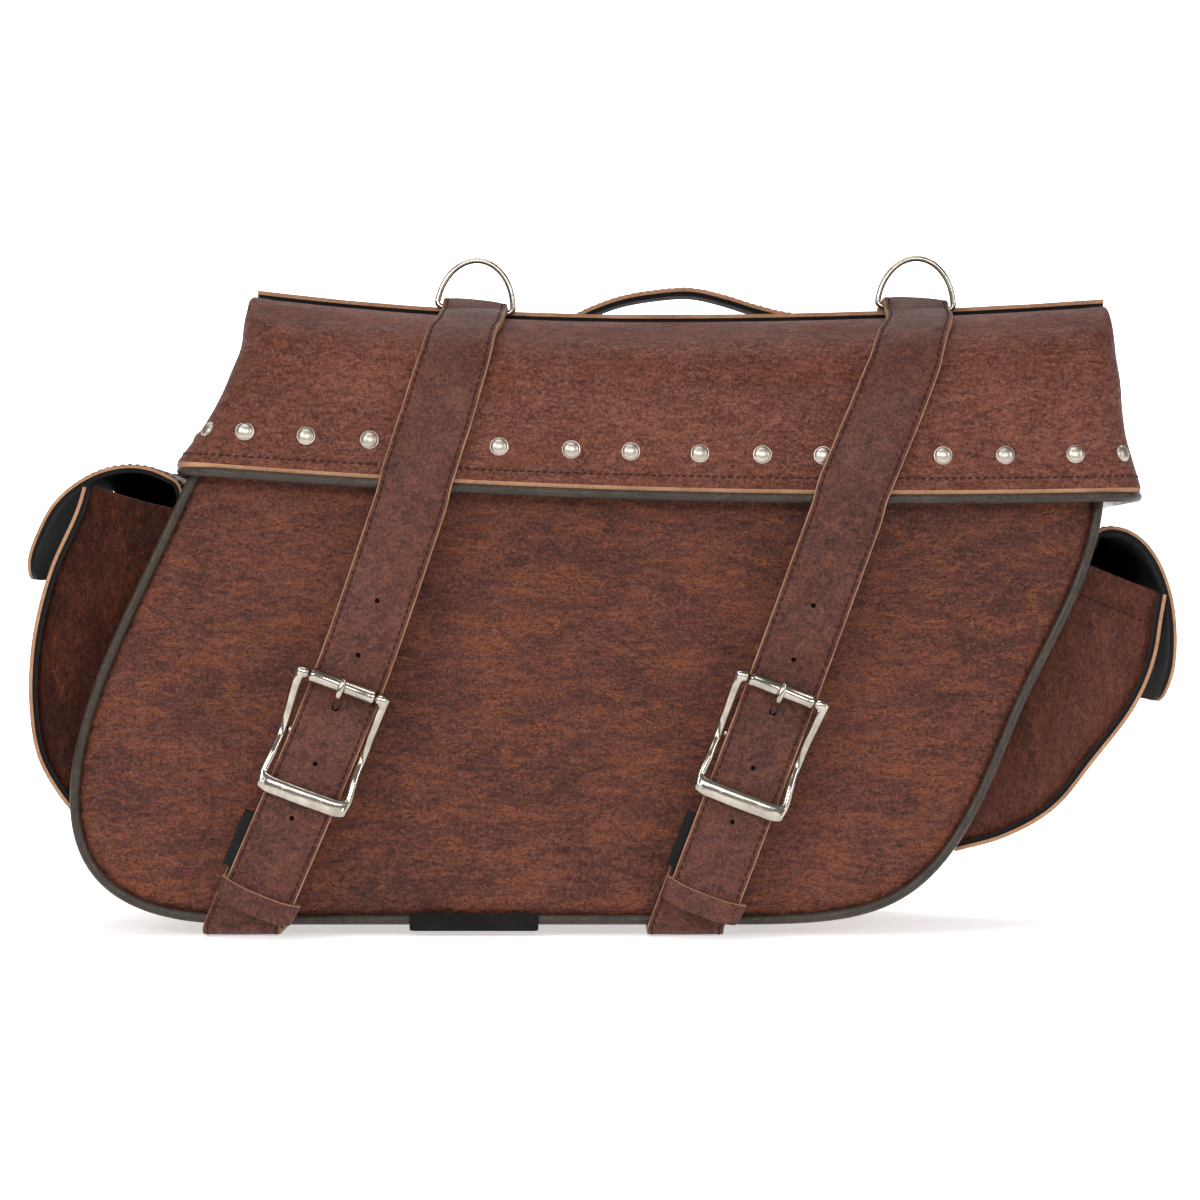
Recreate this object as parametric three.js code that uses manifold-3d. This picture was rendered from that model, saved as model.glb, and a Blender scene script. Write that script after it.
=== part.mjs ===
// Saddle bag with a stiff flap lid, two buckled straps, two end pockets, two D-rings and a handle.
// Units are millimetres, +Z is up, +X is the bag's width and the front face looks toward -Y.
import * as THREE from 'three';
import { mergeVertices } from 'three/addons/utils/BufferGeometryUtils.js';
import Module from 'manifold-3d';

const wasm = await Module();
wasm.setup();

// ---- driving dimensions -------------------------------------------------------------------
const GAP = 0.4; // clearance left between touching pieces
const LEATHER = 4; // panel and lid wall, leather on board
const STRAP_WIDTH = 37.5; // for 38 mm hardware
const STRAP_THICKNESS = 4.5; // two sewn layers
const PIPING_RADIUS = 2.75;
const SEAM_INSET = PIPING_RADIUS + GAP; // from the piping's centre line to the panels' edge

const FRONT_FACE = -77; // outer face of the front panel, along Y
const BACK_FACE = 77; // outer face of the back panel, along Y
const FRONT_TOP = 294; // height of the mouth at the front and the sides
const BACK_TOP = 305; // height of the back panel, just under the lid's hinge

const LID_REAR = 70; // rear edge of the lid, along Y
const RIDGE_Z = 328; // height of the lid's crown over its lowest point
const RIDGE_X = 30; // where the crown is lowest
const HEM_Z = 233.5; // lowest height of the lid's hem
const HEM_X = 157;

const POCKET_HALF = 50; // half the pockets' depth inside, along Y
const POCKET_WALL = 3;
const BOARD = 2.5; // stiffening boards

const STRAP_Y = -97; // middle of the hanging straps, along Y
const D_RING_WIRE = 1.6; // wire radius
const D_RING_HALF = 20.7; // half width between the legs' centre lines
const D_RING_HEIGHT = 27.5;
const BAR_Y = -10; // the D-rings' bars, along Y, just in front of the hinge strip
const BAR_RISE = 2; // middle of the D-rings' bars above the lid
const STRIP_THICKNESS = 3;
const FOLD_SHARE = 0.87; // how far the strap narrows to pass through the D-ring
const FOLD_THICKNESS = 3.2; // the strap is skived thin where it folds over the bar
const BAR_RADIUS = 2; // the buckle's round bars
const ROLLER_RADIUS = 4.1;
const BUCKLE_HALF = 22.6; // half width between the buckle's side rails
const BUCKLE_TOP = 31; // roller bar above the centre bar
const BUCKLE_BOTTOM = -31; // keeper bar below the centre bar

// ---- materials ----------------------------------------------------------------------------
const material = (color, roughness, metalness = 0) =>
  new THREE.MeshStandardMaterial({ color, roughness, metalness });
const leather = material(0x6c423a, 0.5);
const lidLeather = material(0x7b4b3e, 0.45);
const strapLeather = material(0x724a42, 0.5);
const pipingLeather = material(0x6d5c57, 0.4);
const lining = material(0x1c1a1a, 0.9);
const board = material(0x2a2826, 0.8);
const nickel = material(0xb5aa98, 0.25, 1);
const blackPlastic = material(0x17171a, 0.4);

// ---- shape helpers ------------------------------------------------------------------------
const v2 = (x, y) => new THREE.Vector2(x, y);
const v3 = (x, y, z) => new THREE.Vector3(x, y, z);
const toRadians = THREE.MathUtils.degToRad;
const bag = new THREE.Group();

function addPiece(name, geometry, look, parent = bag) {
  const mesh = new THREE.Mesh(geometry, look);
  mesh.name = name;
  parent.add(mesh);
  return mesh;
}

// A solid through rings of equal length: capped at both ends, or joined end to end when closed.
function loft(rings, closed = false) {
  const count = rings[0].length;
  const positions = rings.flat().flatMap((p) => [p.x, p.y, p.z]);
  const faces = [];
  const spans = closed ? rings.length : rings.length - 1;
  for (let i = 0; i < spans; i += 1) {
    const here = i * count;
    const next = ((i + 1) % rings.length) * count;
    for (let j = 0; j < count; j += 1) {
      const k = (j + 1) % count;
      faces.push([here + j, here + k, next + k], [here + j, next + k, next + j]);
    }
  }
  if (!closed) {
    const last = (rings.length - 1) * count;
    for (let j = 1; j < count - 1; j += 1) {
      faces.push([0, j + 1, j], [last, last + j, last + j + 1]);
    }
  }
  const geometry = new THREE.BufferGeometry();
  geometry.setAttribute('position', new THREE.Float32BufferAttribute(positions, 3));
  geometry.setIndex(signedVolume(positions, faces) < 0 ? faces.flatMap(([a, b, c]) => [a, c, b]) : faces.flat());
  return geometry;
}

function signedVolume(positions, faces) {
  const corner = (i) => v3(positions[3 * i], positions[3 * i + 1], positions[3 * i + 2]);
  return faces.reduce((sum, [a, b, c]) => sum + corner(a).dot(corner(b).cross(corner(c))), 0);
}

// A flat band along a path. Each station holds its centre, half-width and half-thickness vectors.
function ribbon(stations) {
  const rings = stations.map(({ centre, width, depth }) => [
    centre.clone().add(width).add(depth),
    centre.clone().sub(width).add(depth),
    centre.clone().sub(width).sub(depth),
    centre.clone().add(width).sub(depth),
  ]);
  return loft(rings);
}

// A round tube along points; side is a direction that stays square to the path's bends.
function tube(points, radius, sides, side, closed = false) {
  const rings = points.map((p, i) => {
    const before = points[closed ? (i + points.length - 1) % points.length : Math.max(i - 1, 0)];
    const after = points[closed ? (i + 1) % points.length : Math.min(i + 1, points.length - 1)];
    const along = after.clone().sub(before).normalize();
    const across = along.clone().cross(side).normalize();
    const up = across.clone().cross(along).normalize();
    return Array.from({ length: sides }, (_, k) => {
      const turn = (2 * Math.PI * k) / sides;
      return p.clone().addScaledVector(across, radius * Math.cos(turn)).addScaledVector(up, radius * Math.sin(turn));
    });
  });
  return loft(rings, closed);
}

// Moves an open line of XZ points sideways; a positive distance goes to the left of its direction.
function offsetLine(points, distance) {
  return points.map((p, i) => {
    const before = points[Math.max(i - 1, 0)];
    const after = points[Math.min(i + 1, points.length - 1)];
    const along = after.clone().sub(before).normalize();
    return v2(p.x - along.y * distance, p.y + along.x * distance);
  });
}

// A shape in XZ, pushed out along Y from yLow to yHigh.
function extrudeAlongY(shape, yLow, yHigh) {
  const geometry = new THREE.ExtrudeGeometry(shape, { depth: yHigh - yLow, bevelEnabled: false, curveSegments: 12 });
  geometry.rotateX(Math.PI / 2);
  geometry.translate(0, yHigh, 0);
  return geometry;
}

const stripShape = (points, thickness) =>
  new THREE.Shape([...offsetLine(points, thickness / 2), ...offsetLine(points, -thickness / 2).reverse()]);

const splinePoints = (points, count) => new THREE.SplineCurve(points.map(([x, z]) => v2(x, z))).getPoints(count);

function box(width, depth, height, x = 0, y = 0, z = 0) {
  return new THREE.BoxGeometry(width, depth, height).translate(x, y, z);
}

// A cylinder lying along X.
function barAlongX(radius, length, x = 0, y = 0, z = 0, sides = 12) {
  return new THREE.CylinderGeometry(radius, radius, length, sides).rotateZ(Math.PI / 2).translate(x, y, z);
}

function toSolid(geometry) {
  const bare = geometry.clone();
  bare.deleteAttribute('normal');
  bare.deleteAttribute('uv');
  const merged = mergeVertices(bare, 1e-4);
  return new wasm.Manifold(
    new wasm.Mesh({
      numProp: 3,
      vertProperties: new Float32Array(merged.attributes.position.array),
      triVerts: new Uint32Array(merged.index.array),
    }),
  );
}

function toGeometry(solid) {
  const mesh = solid.getMesh();
  const geometry = new THREE.BufferGeometry();
  geometry.setAttribute('position', new THREE.Float32BufferAttribute(mesh.vertProperties, 3));
  geometry.setIndex(Array.from(mesh.triVerts));
  return geometry;
}

const join = (...geometries) => toGeometry(geometries.map(toSolid).reduce((a, b) => a.add(b)));
const common = (first, second) => toGeometry(toSolid(first).intersect(toSolid(second)));
const cut = (geometry, ...tools) =>
  toGeometry(tools.map(toSolid).reduce((a, b) => a.subtract(b), toSolid(geometry)));

// ---- body: panels, gusset, piping and boards ----------------------------------------------
// The centre line of the side seam, from the top left down and round to the top right.
function seamLine(top) {
  const path = new THREE.Path();
  path.moveTo(-212.6 + 0.6 * (top - 241.8), top);
  path.lineTo(-212.6, 241.8);
  path.lineTo(-247.5, 168);
  path.bezierCurveTo(-317.8, 19.4, -241.4, 8.3, -184, 8.3);
  path.lineTo(68.7, 8.3);
  path.bezierCurveTo(150.3, 8.3, 176.6, 11.6, 213.9, 107);
  path.bezierCurveTo(230.2, 148.9, 259.8, 187, 262, 232);
  path.lineTo(262 - 0.06 * (top - 232), top);
  return path.getPoints(10);
}

const insideSeam = (top, inset) => offsetLine(seamLine(top), inset);

function makeBody() {
  const frontShape = new THREE.Shape(insideSeam(FRONT_TOP, SEAM_INSET));
  const backShape = new THREE.Shape(insideSeam(BACK_TOP, SEAM_INSET));
  addPiece('front_panel', extrudeAlongY(frontShape, FRONT_FACE, FRONT_FACE + LEATHER), leather);
  addPiece('back_panel', extrudeAlongY(backShape, BACK_FACE - LEATHER, BACK_FACE), leather);

  const gussetShape = stripShape(insideSeam(FRONT_TOP, SEAM_INSET + LEATHER / 2), LEATHER);
  const gussetHalf = BACK_FACE - LEATHER - GAP;
  addPiece('gusset', extrudeAlongY(gussetShape, -gussetHalf, gussetHalf), leather);

  const seamY = { front_piping: FRONT_FACE + 2, rear_piping: BACK_FACE - 2 };
  for (const [name, y] of Object.entries(seamY)) {
    const points = seamLine(FRONT_TOP).map((p) => v3(p.x, y, p.y));
    addPiece(name, tube(points, PIPING_RADIUS, 6, v3(0, 1, 0)), pipingLeather);
  }

  const boardInset = SEAM_INSET + LEATHER + GAP;
  const boardShape = new THREE.Shape(insideSeam(FRONT_TOP - 4, boardInset));
  const boardFace = BACK_FACE - LEATHER - GAP;
  addPiece('front_stiffener', extrudeAlongY(boardShape, -boardFace, BOARD - boardFace), board);
  addPiece('back_stiffener', extrudeAlongY(boardShape, boardFace - BOARD, boardFace), board);
  const boardHalf = boardFace - BOARD - GAP;
  const floorZ = 8.3 + boardInset + BOARD / 2;
  addPiece('bottom_stiffener', box(240, 2 * boardHalf, BOARD, -60, 0, floorZ), board);
}

function makeLabelTab() {
  addPiece('label_tab', box(62, 1.2, 8, -68, FRONT_FACE - 2.6, 7.5), lining);
}

// ---- lid ----------------------------------------------------------------------------------
const crownZ = (x) => RIDGE_Z + (x < RIDGE_X ? 2.8e-4 : 1.4e-4) * (x - RIDGE_X) ** 2;
const hemZ = (x) => HEM_Z + 1.09e-4 * (HEM_X - x) ** 2;
const lidTopZ = (x, y) => crownZ(x) - (y < 0 ? 0.0033 : 0.0022) * y * y;

// Levels from the top down: front edge, left and right edges, corner radius and height. The
// first level stands above the crown, which trims it.
const lidLevels = [
  { front: -40, left: -179, right: 265, corner: 10, height: (x) => crownZ(x) + 5 },
  { front: -60, left: -186, right: 271, corner: 18, height: (x) => crownZ(x) - 12 },
  { front: -74, left: -188.5, right: 272.5, corner: 22, height: (x) => crownZ(x) - 17 },
  { front: -83, left: -190, right: 273, corner: 23, height: (x) => 0.6 * crownZ(x) + 104 },
  { front: -87, left: -195, right: 274, corner: 22, height: (x) => 0.4 * crownZ(x) + 158 },
  { front: -90, left: -209, right: 277.5, corner: 22, height: (x) => 0.5 * hemZ(x) + 143 },
  { front: -93, left: -222, right: 284.5, corner: 23, height: hemZ },
];
const CROWN_DEPTHS = [-110, -80, -60, -40, -22, -4, 22, 46, LID_REAR, 90];

// The plan outline of one level, from the rear left round the front to the rear right.
function lidPlan({ front, left, right, corner }, inset, rear) {
  const xLow = left + inset;
  const xHigh = right - inset;
  const yLow = front + inset;
  const radius = corner - inset;
  const plan = [v2(xLow, rear), v2(xLow, 40), v2(xLow, 0)];
  for (let i = 0; i <= 5; i += 1) {
    const turn = Math.PI + (Math.PI / 2) * (i / 5);
    plan.push(v2(xLow + radius * (1 + Math.cos(turn)), yLow + radius * (1 + Math.sin(turn))));
  }
  for (let i = 1; i < 8; i += 1) {
    plan.push(v2(THREE.MathUtils.lerp(xLow + radius, xHigh - radius, i / 8), yLow));
  }
  for (let i = 0; i <= 5; i += 1) {
    const turn = 1.5 * Math.PI + (Math.PI / 2) * (i / 5);
    plan.push(v2(xHigh - radius * (1 - Math.cos(turn)), yLow + radius * (1 + Math.sin(turn))));
  }
  plan.push(v2(xHigh, 0), v2(xHigh, 40), v2(xHigh, rear));
  return plan;
}

const lidRing = (level, inset, rear, drop) =>
  lidPlan(level, inset, rear).map((p) => v3(p.x, p.y, level.height(p.x, p.y) - drop));

// Everything under the lid's crowned top, lowered by a drop.
function underCrown(drop) {
  const rings = Array.from({ length: 15 }, (_, i) => {
    const x = THREE.MathUtils.lerp(-250, 310, i / 14);
    const top = CROWN_DEPTHS.map((y) => v3(x, y, lidTopZ(x, y) - drop));
    return [...top, v3(x, CROWN_DEPTHS[CROWN_DEPTHS.length - 1], 0), v3(x, CROWN_DEPTHS[0], 0)];
  });
  return loft(rings);
}

function makeLid(lid) {
  const hem = lidLevels[lidLevels.length - 1];
  const outerRings = lidLevels.map((level) => lidRing(level, 0, LID_REAR, 0));
  const drops = [0, LEATHER, LEATHER, LEATHER / 2, 0, 0, 0];
  const innerRings = lidLevels.map((level, i) => lidRing(level, LEATHER, LID_REAR + 10, drops[i]));
  innerRings.push(lidRing(hem, LEATHER, LID_REAR + 10, 30));
  const outer = common(loft(outerRings), underCrown(0));
  const inner = common(loft(innerRings), underCrown(LEATHER));
  addPiece('lid_shell', cut(outer, inner), lidLeather, lid);

  const hemInset = 2;
  const piping = lidRing(hem, hemInset, LID_REAR, PIPING_RADIUS + GAP);
  addPiece('lid_piping', tube(piping, PIPING_RADIUS, 6, v3(0, 0, 1)), pipingLeather, lid);

  addPiece('lid_hinge_strip', makeHingeStrip(), strapLeather, lid);
  addPiece('carry_handle', makeHandle(), strapLeather, lid);
}

// The rear leather strip on the lid's top. It starts at the crown and ends over the hinge.
function makeHingeStrip() {
  const depths = CROWN_DEPTHS.filter((y) => y >= -4 && y <= LID_REAR);
  const rings = Array.from({ length: 7 }, (_, i) => {
    const x = THREE.MathUtils.lerp(-182, 268, i / 6);
    const under = depths.map((y) => v3(x, y, lidTopZ(x, y) + 2 * GAP));
    const over = [...under].reverse().map((p) => p.clone().setZ(p.z + STRIP_THICKNESS));
    return [...under, ...over];
  });
  return loft(rings);
}

function makeHandle() {
  const path = [
    [-38, 332.4], [-17, 333], [-5, 338.5], [10, 344], [30, 347.8], [52, 349],
    [70, 345], [86, 340], [104, 335.6], [124, 333.5], [145, 333.1],
  ];
  return extrudeAlongY(stripShape(splinePoints(path, 22), 5), 42, 68);
}

// ---- pockets ------------------------------------------------------------------------------
const pockets = {
  left: {
    wall: [[-277, 229], [-292, 194], [-302, 150], [-303.5, 122], [-298, 90], [-286, 70], [-276.5, 59]],
    mouth: [[-219.5, 224], [-277, 229]],
    root: [[-222.8, 227], [-223.2, 233], [-226, 238.5]],
    flap: [[-229.5, 240.5], [-240, 245], [-252, 246.5], [-264, 244.5], [-277, 238], [-289, 227],
      [-298, 211], [-303.5, 196], [-304.5, 187]],
    seamRange: [60, 224],
    side: -1,
  },
  right: {
    wall: [[298, 178], [296, 149], [286, 122], [263, 91], [240, 64], [213, 49], [189, 42.5]],
    mouth: [[266, 203], [298, 178]],
    root: [[262.4, 204.5], [263.4, 208.5], [266.4, 212]],
    flap: [[269.5, 213], [277, 212.5], [286, 208], [294, 199], [300, 187], [304, 172],
      [305, 158], [304, 142], [301, 128], [299.5, 122]],
    seamRange: [42.5, 203],
    side: 1,
  },
};

// The gusset's outer face beside a pocket, from the pocket's bottom to its mouth.
function pocketRootLine({ seamRange: [low, high], side }) {
  const clear = insideSeam(FRONT_TOP, SEAM_INSET - 2 * GAP);
  const beside = clear.filter((p) => p.x * side > 0 && p.y > low + 1 && p.y < high - 1);
  const at = (z) => {
    const index = clear.findIndex((p, i) => i > 0 && p.x * side > 0 && (clear[i - 1].y - z) * (p.y - z) <= 0);
    const [a, b] = [clear[index - 1], clear[index]];
    return v2(THREE.MathUtils.lerp(a.x, b.x, (z - a.y) / (b.y - a.y)), z);
  };
  return [at(low), ...beside.sort((a, b) => a.y - b.y), at(high)];
}

function makePocket(name, spec, flapGroup) {
  const outer = splinePoints(spec.wall, 14);
  const wallShape = new THREE.Shape([...outer, ...pocketRootLine(spec)]);
  addPiece(`pocket_${name}_front_wall`, extrudeAlongY(wallShape, -POCKET_HALF - POCKET_WALL, -POCKET_HALF), leather);
  addPiece(`pocket_${name}_back_wall`, extrudeAlongY(wallShape, POCKET_HALF, POCKET_HALF + POCKET_WALL), leather);
  const inward = offsetLine(outer, (-spec.side * POCKET_WALL) / 2);
  const reach = POCKET_HALF - GAP;
  addPiece(`pocket_${name}_outer_wall`, extrudeAlongY(stripShape(inward, POCKET_WALL), -reach, reach), leather);

  const root = spec.root.map(([x, z]) => v2(x, z));
  const flapHalf = POCKET_HALF + POCKET_WALL;
  addPiece(`pocket_${name}_flap_root`, extrudeAlongY(stripShape(root, 3.4), -flapHalf, flapHalf), leather);
  const flap = splinePoints(spec.flap, 14);
  addPiece(`pocket_${name}_flap`, extrudeAlongY(stripShape(flap, 3.4), -flapHalf, flapHalf), leather, flapGroup);
}

// ---- straps -------------------------------------------------------------------------------
const straps = {
  left: {
    line: [[-97.2, 238], [-131.5, 134], [-178, 20]],
    topX: -68.2, shoulderX: -75.5, topTilt: 5.5,
    buckle: { x: -143.6, z: 102.4, tilt: 20.2 },
    end: { x: -178, z: 19, tilt: 22.5 },
    clip: { x: -171, z: 45, tilt: 22.5 },
  },
  right: {
    line: [[133.1, 231.2], [96.6, 134], [53, 20]],
    topX: 173, shoulderX: 161.7, topTilt: 3,
    buckle: { x: 82.7, z: 100.3, tilt: 21 },
    end: { x: 53, z: 19, tilt: 21 },
    clip: { x: 60, z: 45, tilt: 21 },
  },
};

const widthVector = (tilt) => {
  const angle = toRadians(tilt);
  return v3(Math.cos(angle), 0, -Math.sin(angle)).multiplyScalar(STRAP_WIDTH / 2);
};

// The hanging half of a strap, from just under the lid's hem to its end in the keeper.
function lowerStrap({ line }) {
  const curve = new THREE.SplineCurve(line.map(([x, z]) => v2(x, z)));
  const stations = Array.from({ length: 13 }, (_, i) => {
    const p = curve.getPoint(i / 12);
    const along = curve.getTangent(i / 12);
    return {
      centre: v3(p.x, STRAP_Y, p.y),
      width: v3(-along.y, 0, along.x).multiplyScalar(STRAP_WIDTH / 2),
      depth: v3(0, STRAP_THICKNESS / 2, 0),
    };
  });
  return ribbon(stations);
}

// Points down the lid's outer face under a strap, each with its outward normal.
function lidFaceUnder({ line, topX, shoulderX }) {
  const [[hemX]] = line;
  const shoulder = lidLevels[3];
  const shoulderZ = shoulder.height(shoulderX);
  const onCrown = [-20, -40, -60].map((y) => {
    const x = THREE.MathUtils.lerp(topX, shoulderX, (y / shoulder.front) ** 4);
    return v3(x, y, lidTopZ(x, y));
  });
  const onSkirt = lidLevels.slice(2).map(({ front, height }) => {
    const z = height(shoulderX);
    const share = (shoulderZ - z) / (shoulderZ - hemZ(hemX));
    const x = THREE.MathUtils.lerp(shoulderX, hemX, Math.max(share, 0));
    return v3(x, front, height(x));
  });
  const points = [...onCrown, ...onSkirt];
  return points.map((p, i) => {
    const before = points[Math.max(i - 1, 0)];
    const after = points[Math.min(i + 1, points.length - 1)];
    const fall = v3(0, after.y - before.y, after.z - before.z).normalize();
    const slope = (crownZ(p.x + 1) - crownZ(p.x - 1)) / 2;
    return { p, normal: v3(slope * fall.y, fall.z, -fall.y).normalize() };
  });
}

// How high the middle of something tilted across a strap's top must stand to touch the lid.
function restingHeight({ topX, topTilt }, y, reach) {
  const drop = Math.sin(toRadians(topTilt));
  return Math.max(...[-reach, reach].map((x) => lidTopZ(topX + x, y) + x * drop));
}

const barHeight = (spec) => restingHeight(spec, BAR_Y, D_RING_HALF) + BAR_RISE;

// The half of a strap that is sewn to the lid: over the D-ring's bar, then down to the hem.
function upperStrap(spec) {
  const half = STRAP_THICKNESS / 2;
  const foldHalf = FOLD_THICKNESS / 2;
  const tilted = (turn) => v3(0, Math.sin(toRadians(turn)), Math.cos(toRadians(turn)))
    .applyAxisAngle(v3(0, 1, 0), toRadians(spec.topTilt));
  const overStrip = (y, turn) => {
    const rest = restingHeight(spec, y, (FOLD_SHARE * STRAP_WIDTH) / 2) + STRIP_THICKNESS + 4 * GAP;
    return { p: v3(spec.topX, y, rest + foldHalf), normal: tilted(turn), half: foldHalf };
  };
  const overBar = [
    overStrip(24, 6),
    overStrip(8, 0),
    ...[10, -20, -48].map((turn) => ({
      p: v3(spec.topX, BAR_Y, barHeight(spec)).addScaledVector(tilted(turn), D_RING_WIRE + GAP + foldHalf),
      normal: tilted(turn),
      half: foldHalf,
    })),
  ];
  const onLid = lidFaceUnder(spec).map(({ p, normal }) =>
    ({ p: p.clone().addScaledVector(normal, half + 1.3), normal, half }));
  const path = [...overBar, ...onLid];
  const stations = path.map(({ p, normal, half: depth }, i) => {
    const along = path[Math.min(i + 1, path.length - 1)].p.clone().sub(path[Math.max(i - 1, 0)].p);
    const share = Math.min(FOLD_SHARE + 0.03 * Math.max(i - overBar.length + 1, 0), 1);
    const width = normal.clone().cross(along).normalize().multiplyScalar((share * STRAP_WIDTH) / 2);
    return { centre: p, width, depth: normal.clone().normalize().multiplyScalar(depth) };
  });
  return ribbon(stations);
}

// The strap that carries the bag's bottom: up the front behind the clip, and under to the back.
function bottomStrap({ clip, end }) {
  const half = 1.75;
  const tilted = widthVector(clip.tilt);
  const level = widthVector(0);
  const slope = Math.tan(toRadians(clip.tilt));
  const onLine = (z) => clip.x + (z - clip.z) * slope;
  const front = -82.7;
  const stations = [
    { centre: v3(onLine(62), front, 62), width: tilted, depth: v3(0, half, 0) },
    { centre: v3(onLine(26), front, 26), width: tilted, depth: v3(0, half, 0) },
    { centre: v3(onLine(9), front, 9), width: widthVector(clip.tilt * 0.35), depth: v3(0, half, 0.2) },
    { centre: v3(end.x - 8, -80.6, 2.8), width: level, depth: v3(0, half * 0.7, half * 0.6) },
    { centre: v3(end.x - 8, -76, half), width: level, depth: v3(0, 0, half) },
    { centre: v3(end.x - 8, BACK_FACE - 1, half), width: level, depth: v3(0, 0, half) },
  ];
  return ribbon(stations);
}

// ---- D-rings ------------------------------------------------------------------------------
function dRing() {
  const points = [];
  for (let i = 0; i <= 4; i += 1) {
    points.push(v3(THREE.MathUtils.lerp(-D_RING_HALF, D_RING_HALF, i / 4) * 0.93, 0, 0));
  }
  const lowest = Math.asin(2.5 / D_RING_HEIGHT);
  for (let i = 0; i <= 14; i += 1) {
    const turn = THREE.MathUtils.lerp(lowest, Math.PI - lowest, i / 14);
    points.push(v3(D_RING_HALF * Math.cos(turn), 0, D_RING_HEIGHT * Math.sin(turn)));
  }
  return tube(points, D_RING_WIRE, 8, v3(0, 1, 0), true);
}

// ---- buckles, in a frame with X across the strap, Z up it and -Y out of it -----------------
const FRONT_OF_STRAP = -STRAP_THICKNESS / 2 - GAP; // along the buckle's Y
const ROLLER_Y = FRONT_OF_STRAP - ROLLER_RADIUS;
const EYE_RADIUS = BAR_RADIUS + 2.2; // the prong's eye round the centre bar
const CENTRE_BAR_Y = STRAP_THICKNESS / 2 + GAP + EYE_RADIUS;

function buckleFrame() {
  const railLine = splinePoints([[BUCKLE_BOTTOM, -6], [-16, -3], [0, CENTRE_BAR_Y - 0.6], [16, -2], [BUCKLE_TOP, ROLLER_Y]], 12);
  const railShape = new THREE.Shape([...offsetLine(railLine, 2.2), ...offsetLine(railLine, -2.2).reverse()]);
  const rail = (x) => {
    const geometry = new THREE.ExtrudeGeometry(railShape, { depth: 3.6, bevelEnabled: false });
    geometry.applyMatrix4(new THREE.Matrix4().makeBasis(v3(0, 0, 1), v3(0, 1, 0), v3(-1, 0, 0)));
    return geometry.translate(x + 1.8, 0, 0);
  };
  const keeper = box(2 * BUCKLE_HALF, 3, 9, 0, -6, BUCKLE_BOTTOM + 2);
  return join(
    rail(-BUCKLE_HALF),
    rail(BUCKLE_HALF),
    barAlongX(BAR_RADIUS, 2 * BUCKLE_HALF, 0, ROLLER_Y, BUCKLE_TOP),
    barAlongX(BAR_RADIUS, 2 * BUCKLE_HALF, 0, CENTRE_BAR_Y, 0),
    keeper,
  );
}

function roller() {
  const half = 17.5;
  const bore = BAR_RADIUS + GAP;
  const profile = [v2(bore, -half), v2(ROLLER_RADIUS, -half), v2(ROLLER_RADIUS, half), v2(bore, half), v2(bore, -half)];
  return new THREE.LatheGeometry(profile, 14).rotateZ(Math.PI / 2);
}

const PRONG_HOLE_Z = 18; // where the prong comes through the strap, above the centre bar
const PRONG_THICKNESS = 3.4;

// The prong turns on the centre bar behind the strap, comes through its hole and rests on the roller.
function prong() {
  const behind = STRAP_THICKNESS / 2 + 2.4;
  const line = splinePoints([[4, behind + 0.6], [PRONG_HOLE_Z - 6, behind], [PRONG_HOLE_Z, -0.2],
    [PRONG_HOLE_Z + 5, -6.4], [BUCKLE_TOP - 4, ROLLER_Y - ROLLER_RADIUS - 1.9],
    [BUCKLE_TOP + 3, ROLLER_Y - ROLLER_RADIUS - 2]], 18);
  const arm = new THREE.ExtrudeGeometry(new THREE.Shape([...offsetLine(line, 1.2), ...offsetLine(line, -1.2).reverse()]),
    { depth: PRONG_THICKNESS, bevelEnabled: false });
  arm.applyMatrix4(new THREE.Matrix4().makeBasis(v3(0, 0, 1), v3(0, 1, 0), v3(-1, 0, 0)));
  arm.translate(PRONG_THICKNESS / 2, 0, 0);
  const eye = barAlongX(EYE_RADIUS, PRONG_THICKNESS, 0, CENTRE_BAR_Y, 0, 16);
  const bore = barAlongX(BAR_RADIUS + GAP, PRONG_THICKNESS + 2, 0, CENTRE_BAR_Y, 0, 16);
  return cut(join(arm, eye), bore);
}

// A short strap behind the main one that holds the buckle's centre bar and the clip.
function chape(length) {
  const y = STRAP_THICKNESS / 2 + GAP + 1;
  const half = v3(STRAP_WIDTH / 2 - 3, 0, 0);
  const band = ribbon([-6, -length].map((z) => ({ centre: v3(0, y, z), width: half, depth: v3(0, 1, 0) })));
  return band;
}

function keeperLoop() {
  const outer = box(STRAP_WIDTH + 5.4, STRAP_THICKNESS + 4.4, 12.5);
  const inner = box(STRAP_WIDTH + 1.2, STRAP_THICKNESS + 2 * GAP, 20);
  return cut(outer, inner);
}

// The clip's socket is a channel, open below where the plug enters and open toward the bag.
function clipSocket() {
  const outer = box(42, 7.2, 30, 0, 0, 0);
  const hollow = box(38, 7.2, 30, 0, 2, -2);
  return cut(outer, hollow);
}

function clipPlug() {
  return join(box(28, 3.8, 24, 0, 0, 0), box(34, 3.8, 8, 0, 0, -15));
}

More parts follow.
